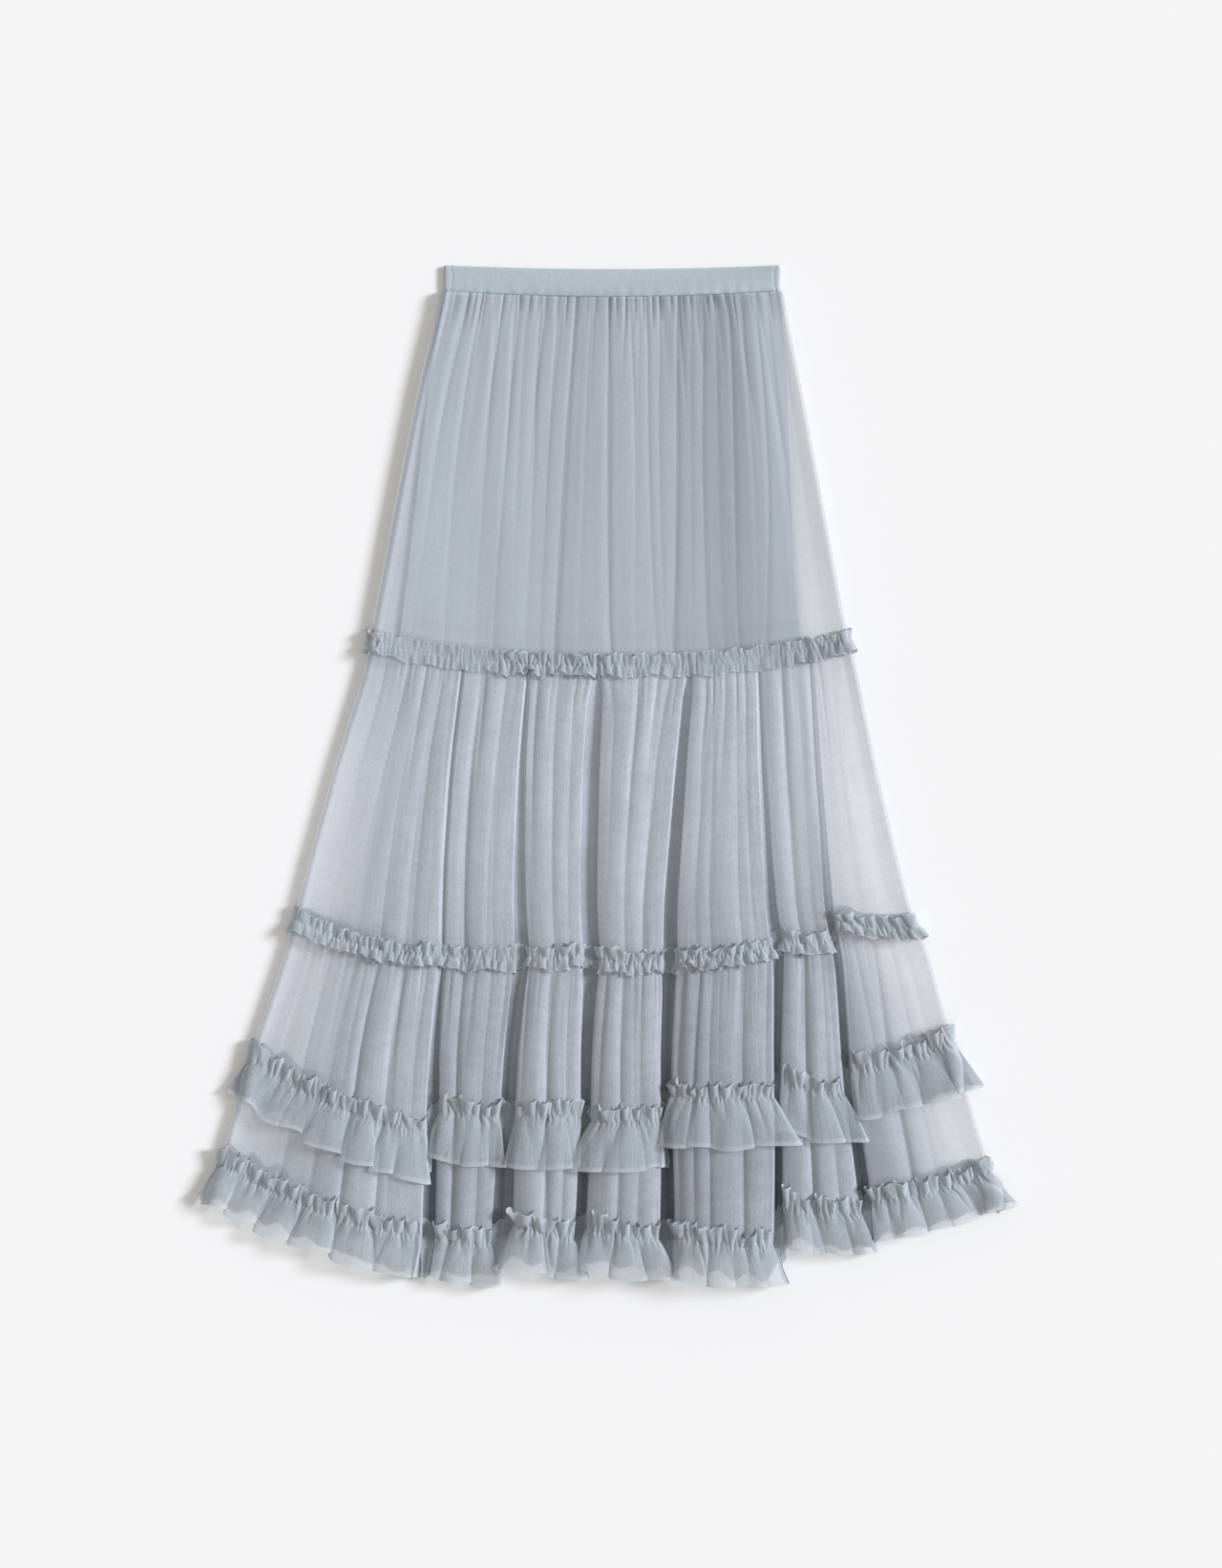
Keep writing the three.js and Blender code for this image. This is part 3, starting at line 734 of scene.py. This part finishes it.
def waistband():
    x, z, out_x, out_z = band_path()
    across = np.clip((2 * (x - BAND_LEFT)) / (BAND_RIGHT - BAND_LEFT) - 1, -1, 1)
    top = BAND_TOP_DIP * (1 - across ** 2)
    bottom = BAND_HEIGHT + BAND_BOTTOM_DIP * (1 - across ** 2)
    turn = np.linspace(0, 2 * math.pi, BAND_SECTION, endpoint=False)
    down = 0.5 - 0.5 * np.sign(np.cos(turn)) * np.abs(np.cos(turn)) ** 0.45
    thick = np.sign(np.sin(turn)) * np.abs(np.sin(turn)) ** 0.3
    down, thick = down[:, None], thick[:, None]
    drop = mix(top, bottom, down)
    lean = 3.0 * (down - 0.5) ** 2 * 4 - 1.5
    on_front = (out_z > 0.5) & (thick > 0)
    seam = np.minimum(np.abs(x - BAND_SEAM_LEFT + lean), np.abs(x - BAND_SEAM_RIGHT - lean))
    groove = np.exp(-(seam / 0.7) ** 2) * on_front
    # A bright line beside each side seam: painted highlight
    seam_highlight = np.exp(-((seam - 1.5) / 0.7) ** 2) * on_front
    pucker = 0.25 * waves(x / 3.2, down * 2, 5) * smooth((down - 0.55) / 0.4)
    half = BAND_WALL / 2 * thick + np.sign(thick) * pucker - 0.5 * groove
    points = np.stack([x + out_x * half, -drop + 0 * half, z + out_z * half], axis=-1)
    # Shade paint: painted shade in the side seams' grooves, uneven tone, and darker towards the band's
    # lower edge
    shade = 0.10 + 0.5 * groove + 0.12 * waves(x / 40, down * 3, 6) + 0.25 * smooth((down - 0.9) / 0.1)
    paint = paint_grid(1.0, shade, 0.6 * seam_highlight)
    cloth = np.stack(np.broadcast_arrays(x, drop + 40 * (thick < 0)), axis=-1)
    count = points.shape[1]
    faces = grid_faces(BAND_SECTION + 1, count) % (BAND_SECTION * count)
    obj = make_mesh("waistband", points, faces[:, ::-1], paint, cloth, BAND)
    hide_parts("waistband_front", "waistband_back")
    return obj


# Lining

# Height of its hem above the first seam, the hem's ends as shares of the tulle's width, and how far it
# stays inside the tulle's side folds at the waist and at the hem
LINING_ABOVE_SEAM = 9.5
LINING_HEM_SHARE = (0.056, 0.906)
LINING_INSET_LEFT = (2.0, 25.0)
LINING_INSET_RIGHT = (1.0, 44.0)
LINING_ROWS = 60


def lining_layer(columns, height):
    share = np.linspace(0, 1, columns)
    down = np.linspace(0, 1, LINING_ROWS)[:, None]
    waist = arc_drop(0, share) - 4
    hem = arc_drop(1, mix(*LINING_HEM_SHARE, share)) - LINING_ABOVE_SEAM
    drop = mix(waist, hem, down)
    left, right = side_folds(drop)
    widening = smooth(down) * 0.4 + down * 0.6
    inset_left = mix(*LINING_INSET_LEFT, widening)
    inset_right = mix(*LINING_INSET_RIGHT, widening)
    x = mix(left + inset_left, right - inset_right, share)
    ripple = 0.5 * waves(x / 14, down * 2, 31) * (1 - 0.5 * down)
    round_side = np.sqrt(np.clip(np.minimum(share, 1 - share) / 0.02, 0, 1))
    z = height + (ripple + 0.3) * round_side
    return np.stack([x, -drop, z], axis=-1)


def lining():
    front = lining_layer(240, LINING_FRONT_Z)
    back = lining_layer(120, LINING_BACK_Z)
    middle = (LINING_FRONT_Z + LINING_BACK_Z) / 2
    for layer in (front, back):
        layer[:, 0, 2] = layer[:, -1, 2] = middle
    down = np.linspace(0, 1, LINING_ROWS)[:, None]
    # A dark double line at the hem: partly its stitching, partly painted shadow under the hem
    hem_line_and_shadow = smooth((down - 0.985) / 0.01) + 0.5 * np.exp(-((down - 0.955) / 0.006) ** 2)
    shade = 0.10 + 0.1 * waves(front[..., 0] / 12, front[..., 1] / 160, 32)
    shade = shade + 1.4 * upper_tone(seen_share(front))
    front_paint = paint_grid(1.0, shade + 0.6 * hem_line_and_shadow, 0)
    back_paint = paint_grid(1.0, np.full(back.shape[:2], 0.2), 0)
    obj = tube("lining", (front, front_paint), (back[:, 1:-1], back_paint[:, 1:-1]), LINING)
    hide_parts("lining_front", "lining_back")
    return obj


# Upper tier

# Creases: share of the width under the band and at the first seam, depth at both, in mm
UPPER_CREASES = [
    (0.030, 0.020, 1.2, 0.4), (0.070, 0.080, 1.5, 0.3), (0.112, 0.157, 2.0, 0.6), (0.165, 0.228, 1.6, 0.5),
    (0.221, 0.263, 2.4, 0.9), (0.255, 0.300, 1.2, 0.3), (0.293, 0.332, 2.0, 0.8), (0.344, 0.352, 2.2, 0.7),
    (0.395, 0.381, 3.4, 2.6), (0.440, 0.430, 1.4, 0.4), (0.491, 0.499, 3.2, 2.6), (0.552, 0.560, 2.0, 0.6),
    (0.600, 0.600, 2.4, 1.2), (0.637, 0.612, 1.6, 0.5), (0.693, 0.629, 3.2, 2.4), (0.730, 0.665, 1.4, 0.5),
    (0.763, 0.697, 2.2, 1.6), (0.795, 0.735, 1.6, 0.6), (0.837, 0.768, 2.4, 1.4), (0.880, 0.800, 1.6, 0.6),
    (0.920, 0.829, 2.6, 1.6), (0.952, 0.890, 1.8, 0.5), (0.980, 0.950, 1.2, 0.4),
]


def crease_field(share, v, creases, width, seed):
    """Depth in mm of placed creases that wander a little down the tier, and how dark they are painted, 0
    to 1: partly denser net, partly painted shade.
    """
    depth, dark = 0.0, 0.0
    for number, (top, low, depth_top, depth_low) in enumerate(creases):
        wander = 0.004 * waves(v * 3.0 + number * 1.7, 0.0, seed + number, 3)
        place = mix(top, low, v) + wander * smooth(v * 4)
        size = mix(depth_top, depth_low, smooth(v * 0.9 + 0.05))
        away = (share - place) / width
        shape = np.exp(-np.abs(away) ** 1.5) + 0.35 * np.exp(-((away - 1.8) / 1.6) ** 2)
        depth = depth + size * shape
        dark = dark + size / 3.4 * np.exp(-(away / 0.55) ** 2)
    return depth, dark


def upper_tier():
    share = np.linspace(0, 1, 640)
    share = 0.5 - 0.5 * (0.15 * np.cos(math.pi * share) + 0.85 * (1 - 2 * share))
    v = np.linspace(0, 1, 74)[:, None]
    tier = v * 0.999
    front = plain_points(share, tier, 0.0)
    left, right = side_folds(-front[..., 1])
    from_side = np.minimum(front[..., 0] - left, right - front[..., 0])
    width = (right - left).mean()
    u = share * width
    depth, dark = crease_field(share, v, UPPER_CREASES, 0.0105, 60)
    fine, fine_crease = Gathers(width, 7, 15, (0.04, 0.17), 11)(u, v, 1.6, 9.0)
    long, long_crease = Gathers(width, 16, 40, (0.2, 0.9), 12)(u, v, 2.4, 7.0)
    calm = smooth(from_side / 8 + 0.1)
    height = 1.2 * fine + 0.9 * long - 1.1 * fine_crease - 0.7 * long_crease - 0.85 * depth + 2.4
    front[..., 2] = side_height(from_side, LINING_LIFT) + np.clip(height, 0, None) * calm
    front[..., 0] += 0.6 * waves(u / 25, v * 5, 13) * smooth(from_side / 20)
    # Painted shade in the creases, partly for the denser net there, and darker just under the waistband
    shade = 0.04 + 0.46 * dark + 0.34 * fine_crease + 0.09 * long_crease + 0.10 * np.exp(-v * 45)
    shade = shade + upper_tone(share)
    cover = net_cover(share, -front[..., 1]) * 0.72
    cover = cover + 0.40 * dark + 0.28 * fine_crease + 0.12 * long_crease - 0.05 * fine - 0.05 * long
    cover = cover + roll_cover(front)
    paint = paint_grid(slope_cover(front, np.clip(cover, 0.1, 0.92)), shade)
    back_share = np.linspace(0, 1, 202)[1:-1]
    back = plain_points(back_share, tier, BACK_TULLE_Z)
    back[..., 2] += 0.35 * waves(back_share * 55, v * 2, 15) - 0.1
    back_paint = paint_grid(net_cover(back_share, -back[..., 1]) * 0.8, 0.1)
    obj = tube("upper_tier", (front, paint), (back, back_paint), UPPER_TULLE)
    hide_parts("upper_tier_front", "upper_tier_back")
    return obj


# Middle and lower tier

WALL_STEPS = 12


def frill_behind(share, tier):
    """Where the back's lower frill, which lies a little higher, shows dark through the front."""
    across = smooth((share - 0.03) / 0.05) * smooth((0.42 - share) / 0.06)
    uneven = 0.012 * waves(share * 60, 0, 91)
    return across * np.exp(-((tier - 1.935 + uneven) / 0.028) ** 2)


def lower_panels(name, nodes, per_fold, tiers, rows, seed):
    """A tier with deep folds, between two tier numbers, over the plain back."""
    columns = Columns(per_fold, WALL_STEPS)
    v = np.linspace(0, 1, rows)[:, None]
    tier = mix(*tiers, v ** 1.1)
    front = front_points(columns, tier)
    u = travelled(front, rows // 2)
    length = u[-1]
    on_top = smooth((columns.wall - 0.5) / 0.5)
    fine, fine_crease = Gathers(length, 5, 14, (0.08, 0.35), seed)(u, v, 1.6, 4.5)
    long, long_crease = Gathers(length, 15, 38, (0.5, 2.0), seed + 1)(u, v, 2.0, 4.5)
    wide, wide_crease = Gathers(length, 36, 80, (1.5, 3.0), seed + 2)(u, v, 3.0, 8.0)
    height = 0.8 * fine + 1.4 * long + 2.0 * wide + 1.0
    height = height - 0.5 * fine_crease - 0.7 * long_crease - 0.9 * wide_crease
    height = height * (0.3 + 0.7 * smooth(v * 7)) * (1 - 0.6 * smooth((v - 0.93) / 0.07))
    share = seen_share(front)
    calm = smooth(np.minimum(share, 1 - share) / 0.05)
    front = front + outward(front) * (np.clip(height, 0, None) * on_top * calm)[..., None]
    # Crease shade: partly denser net, partly painted shade in the creases
    crease = 0.13 * fine_crease + 0.08 * long_crease + 0.08 * wide_crease
    placed = top_creases(columns, FOLD_WIDTH[columns.fold])
    crease = crease + 0.03 * placed * np.interp(tier, RISING_TIER, RISING)
    shade = 0.04 + crease * (0.3 + 0.7 * on_top) + fold_tone(columns, share, tier)
    # Painted shade down the valleys between the large folds, deeper lower down
    shade = shade + (1 - columns.wall) * np.interp(tier, [1, 2, 2.6, 3, 4], [0.06, 0.34, 0.45, 0.6, 0.7])
    behind = frill_behind(share, tier)
    shade = shade + 0.16 * behind
    cover = net_cover(share, -front[..., 1]) + 0.9 * crease - 0.03 * long - 0.04 * wide
    cover = cover + roll_cover(front) + 0.2 * behind + 0.3 * (1 - columns.wall)
    paint = paint_grid(slope_cover(front, np.clip(cover, 0.1, 0.95)), shade)
    back_share = np.linspace(0, 1, 222)[1:-1]
    back = plain_points(back_share, tier[:, :1], BACK_TULLE_Z)
    swell, crease = Gathers(700, 12, 36, (0.5, 2.0), seed + 3)(back_share * 700, v, 3.0, 6.0)
    back[..., 2] += 0.8 * swell - 0.4 * crease
    back_cover = net_cover(seen_share(back), -back[..., 1]) + 0.2 * crease
    # The back's creases: partly denser net, partly painted shade
    back_paint = paint_grid(back_cover, 0.06 + 0.15 * crease)
    obj = tube(name, (front, paint), (back, back_paint), TULLE)
    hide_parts(*nodes)
    return obj


# Frills and flounces

STRIP_WALL_STEPS = 14


class Strip:
    """A strip gathered on a seam: how far it reaches up and down, how far its header and its skirt
    stand out, the widths of its waves, how much narrower it is at the sides, how far each fold of it
    flares, and how calm, dense and wide at the sides it is.
    """

    def __init__(self, name, seam, up, down, seed, *, per_fold, rows, flat, waves, header, skirt,
                 hem_waves=None, narrow=(1.0, 1.0), flare_left=(0,) * FOLDS, flare_right=(0,) * FOLDS,
                 calm=0.0, cover=0.54, side_reach=4.0):
        self.name, self.seam, self.up, self.down, self.seed = name, seam, up, down, seed
        self.per_fold, self.flat = per_fold, flat
        self.rows_up, self.rows_down = rows
        self.waves, self.hem_waves = waves, hem_waves
        self.header, self.skirt = header, skirt
        self.narrow_left, self.narrow_right = narrow
        self.flare_left, self.flare_right = np.array(flare_left, float), np.array(flare_right, float)
        self.calm, self.cover, self.side_reach = calm, cover, side_reach

    def offsets(self):
        """Rows from the header's edge at -1 over the stitch line at 0 to the hem at 1."""
        up = -np.linspace(1, 0, self.rows_up, endpoint=False)
        return np.concatenate([up, np.linspace(0, 1, self.rows_down)])[:, None]

    def tiers(self, seams, share):
        """Tier numbers of its rows where the seams have these drops."""
        v = self.offsets()
        narrow = mix(self.narrow_left, 1, smooth(share / 0.25))
        narrow = narrow * mix(self.narrow_right, 1, smooth((1 - share) / 0.2))
        above = seams[self.seam] - seams[self.seam - 1]
        below = seams[self.seam + 1] - seams[self.seam]
        return self.seam + np.where(v < 0, self.up * v / above, self.down * narrow * v / below)


def curl(u, reach, spread, widths, size, seed):
    """A free gathered edge that stands up and curls: shifts across, outwards along the cloth and up."""
    length = u[-1]
    turn, span, own, sag = Ruffles(length, *widths, seed)(u + 2.0 * reach * waves(u / 15, 0, seed + 1))
    small, _, tiny, _ = Ruffles(length, 3.5, 7.5, seed + 2)(u)
    belly = 0.5 + 0.5 * np.cos(turn)
    up = reach ** 0.7 * (own * belly + 0.22 * tiny * np.cos(small))
    across = 0.25 * span * reach * own * np.sin(turn) + 1.0 * reach * tiny * np.sin(small)
    along = 0.50 * sag * belly + 0.10 * np.cos(small) + 0.08 * waves(u / 5, 0, seed + 3)
    along = -spread * reach * along
    crease = reach ** 0.4 * own * np.exp(-(1 - np.abs(np.sin(turn / 2))) / 0.07)
    return across * size, along * size, up * size, crease * size


def hang(u, reach, spread, widths, seed):
    """A flounce that falls from its seam in broad soft folds."""
    length = u[-1]
    turn, span, own, _ = Ruffles(length, *widths, seed)(u + 3.0 * reach * waves(u / 24, 0, seed + 1))
    belly = 0.5 + 0.5 * np.cos(turn)
    up = reach ** 0.8 * own * belly
    across = 0.22 * np.clip(span, 0, 30) * reach * np.clip(own, 0, 1.1) * np.sin(turn)
    along = spread * reach * (0.035 * waves(u / 14, 0, seed + 2) + 0.03 * belly * own)
    crease = smooth(reach * 3) * own * np.exp(-(1 - np.abs(np.sin(turn / 2))) / 0.03)
    return across, along, up, crease


def ruffle(u, v, strip):
    """Shifts across, down and out of a ruffled strip, and how deep in a crease each point is."""
    upper, lower = np.clip(-v, 0, 1), np.clip(v, 0, 1)
    length, seed = u[-1], strip.seed
    lively = 1 - strip.calm * smooth(0.5 + 1.2 * waves(u / 45, 0, seed + 9))
    across, along, out, crease = curl(u, upper, strip.up, strip.waves, lively, seed)
    out = strip.header * out
    if strip.hem_waves is None:
        more = curl(u, lower, strip.down, strip.waves, lively, seed + 40)
    else:
        more = hang(u, lower, strip.down, strip.hem_waves, seed + 40)
    across = across + more[0]
    uneven = 1.1 * upper * waves(u / 6, 0, seed + 10) + 1.1 * lower * waves(u / 7, 0, seed + 11)
    down = more[1] - along + uneven
    out = out + strip.skirt * more[2]
    crease = 0.8 * crease + 0.7 * more[3]
    reach = np.abs(v) * np.where(v < 0, strip.up, strip.down) / 20
    pucker, pinch = Gathers(length, 3.2, 6.5, (0.12, 0.5), seed + 6)(u, reach, 0.9, 2.0)
    fold, groove = Gathers(length, 8, 19, (0.6, 2.4), seed + 7)(u, reach, 1.4, 3.0)
    pinch = pinch * lively
    groove = groove * lively
    out = out + (1.5 * pucker + 1.8 * fold) * lively - 0.9 * pinch - 0.7 * groove
    across = across + 0.8 * pucker * waves(u / 3, 0, seed + 8)
    return across, down, out, crease + 1.1 * pinch + 0.45 * groove


def strip_front(strip):
    columns = Columns(strip.per_fold, STRIP_WALL_STEPS)
    v = strip.offsets()
    share = mix(*columns.shares(float(max(strip.seam, 1))), columns.along)
    tier = strip.tiers(columns.seams, share)
    opened = np.clip(v, 0, 1) ** 0.8
    flares = (flare[columns.fold] * opened for flare in (strip.flare_left, strip.flare_right))
    points = front_points(columns, tier, *flares)
    u = travelled(points, strip.rows_up)
    across, down, out, crease = ruffle(u, v, strip)
    on_top = smooth((columns.wall - 0.35) / 0.65)
    clear = 1.2 + 2.6 * np.clip(v, 0, 1) ** 0.5
    points = points + outward(points) * (clear + out * (0.25 + 0.75 * on_top))[..., None]
    points[..., 0] += across * on_top
    points[..., 1] -= down
    # Hems: denser net with a painted highlight in the third paint channel
    edge = smooth((np.abs(v) - 0.90) / 0.06)
    stitch = np.exp(-(v * np.where(v < 0, strip.up, strip.down) / 1.6) ** 2)
    # Painted shade in the ruffles' creases and down the valleys, and along the stitch line partly the
    # stitching, partly painted shade in its puckers; a little lighter towards the hem
    shade = 0.04 + 0.24 * crease + 0.12 * stitch + 0.12 * (1 - columns.wall) - 0.04 * np.clip(v, 0, 1)
    cover = strip.cover + 0.25 * crease - 0.16 * np.clip(v, 0, 1) + 0.2 * edge + 0.15 * stitch
    return points, paint_grid(slope_cover(points, np.clip(cover, 0.2, 0.95)), shade, edge * 0.6)


def strip_back(strip):
    share = np.linspace(0, 1, 262)[1:-1]
    v = strip.offsets()
    points = plain_points(share, strip.tiers(plain_seams(share), share), BACK_STRIP_Z)
    points[..., 1] += 6.0 * np.sin(math.pi * share) * (strip.seam >= 2)
    u = share * 700
    points[..., 1] -= 0.06 * strip.down * v * waves(u / 6, 0, strip.seed + 20)
    fold, groove = Gathers(700, 5, 15, (0.7, 3.0), strip.seed + 21)(u, np.abs(v), 1.5, 3.0)
    points[..., 2] += 0.5 * fold - 0.3 * groove
    points[..., 0] += strip.side_reach * np.clip(v, 0, 1) * (2 * share - 1) ** 9
    stitch = np.exp(-(v * np.where(v < 0, strip.up, strip.down) / 1.6) ** 2)
    edge = smooth((np.abs(v) - 0.90) / 0.06)
    # Painted shade in the creases and painted highlight on the swells between them; along the stitch line
    # partly the stitching, partly painted shade; painted highlight on the hems
    shade = 0.08 + 0.30 * groove - 0.06 * fold + 0.10 * stitch
    return points, paint_grid(np.clip(0.55 + 0.3 * groove, 0, 0.9), shade, edge * 0.5)


def make_strip(strip):
    obj = tube(strip.name, strip_front(strip), strip_back(strip), FRILL)
    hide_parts(f"{strip.name}_front", f"{strip.name}_back")
    return obj


STRIPS = [
    Strip("upper_frill", 1, 11, 12, 210, flat=(1.2, 0.024), header=4.5, skirt=4.5, waves=(5, 19),
          per_fold=[330, 190, 190, 230, 200, 120, 150], rows=(7, 8), side_reach=3, calm=0.68),
    Strip("lower_frill", 2, 12, 12, 240, flat=(1.7, 0.024), header=5, skirt=5, waves=(6, 17),
          per_fold=[360, 190, 170, 190, 240, 130, 190], rows=(7, 8), calm=0.35),
    Strip("upper_flounce", 3, 17, 45, 270, flat=(2.2, 0.062), header=6.5, skirt=6, waves=(7, 21),
          per_fold=[360, 180, 170, 180, 260, 170, 250], rows=(8, 18), side_reach=14,
          hem_waves=(15, 56), narrow=(0.66, 0.9),
          flare_left=[14, 10, 8, 16, 14, 2, 3], flare_right=[2, 7, 5, 7, 17, 12, 14]),
    Strip("hem_flounce", 4, 17, 37, 300, flat=(2.4, 0.054), header=6.5, skirt=6, waves=(7, 21),
          per_fold=[400, 180, 190, 190, 270, 190, 300], rows=(8, 16), side_reach=14,
          hem_waves=(13, 48), narrow=(0.85, 0.75),
          flare_left=[14, 4, 8, 6, 6, 2, 4], flare_right=[3, 6, 5, 7, 5, 7, 14]),
]

waistband()
lining()
upper_tier()
lower_panels("middle_tier", ("middle_tier_front", "middle_tier_back"),
             per_fold=[170, 90, 90, 110, 120, 70, 80], tiers=(1.001, 1.999), rows=64, seed=100)
lower_panels("lower_tier", ("lower_tier_front", "lower_tier_back"),
             per_fold=[190, 90, 90, 100, 140, 80, 130], tiers=(2.001, 4.03), rows=84, seed=150)
for strip in STRIPS:
    make_strip(strip)


# Floor, light and camera

FLOOR_WIDTH = 8.0
FLOOR_WHITE = (0.93, 0.93, 0.945)


def floor():
    mesh = bpy.data.meshes.new("floor")
    half = FLOOR_WIDTH / 2
    corners = [(-half, -half, 0), (half, -half, 0), (half, half, 0), (-half, half, 0)]
    mesh.from_pydata(corners, [], [(0, 1, 2, 3)])
    g = Graph("floor_paper")
    g.shader.inputs["Base Color"].default_value = (*FLOOR_WHITE, 1)
    g.shader.inputs["Roughness"].default_value = 0.9
    g.shader.inputs["Specular IOR Level"].default_value = 0.1
    mesh.materials.append(g.material)
    obj = bpy.data.objects.new("floor", mesh)
    bpy.context.scene.collection.objects.link(obj)


def sun(name, energy, colour, towards, angle):
    data = bpy.data.lights.new(name, "SUN")
    data.energy = energy
    data.color = colour
    data.angle = math.radians(angle)
    obj = bpy.data.objects.new(name, data)
    obj.rotation_euler = Vector(towards).to_track_quat("-Z", "Y").to_euler()
    bpy.context.scene.collection.objects.link(obj)


# The frame in pixels, the row of the waistband's top in it, and metres for each pixel on the skirt
FRAME_HEIGHT_PX = 1642
WAIST_TOP_PX = 277
PIXEL = 0.9 * MM
CAMERA_HEIGHT = 4.0
SKIRT_MIDDLE_Z = 0.01


def camera():
    data = bpy.data.cameras.new("camera")
    data.sensor_fit = "VERTICAL"
    data.sensor_height = 36.0
    view_height = FRAME_HEIGHT_PX * PIXEL
    data.lens = data.sensor_height * (CAMERA_HEIGHT - SKIRT_MIDDLE_Z) / view_height
    obj = bpy.data.objects.new("camera", data)
    middle_drop = (FRAME_HEIGHT_PX / 2 - WAIST_TOP_PX) * PIXEL
    obj.location = (ORIGIN_X, ORIGIN_Y - middle_drop, CAMERA_HEIGHT)
    bpy.context.scene.collection.objects.link(obj)
    bpy.context.scene.camera = obj


def world():
    studio = bpy.data.worlds.new("studio")
    studio.use_nodes = True
    background = studio.node_tree.nodes["Background"]
    background.inputs["Color"].default_value = (1.0, 0.965, 0.90, 1)
    background.inputs["Strength"].default_value = 0.50
    bpy.context.scene.world = studio


floor()
world()
sun("key", energy=3.25, colour=(0.91, 0.945, 1.0), towards=(-0.83, -0.20, -0.51), angle=16)
camera()
bpy.context.scene.view_settings.view_transform = "Standard"
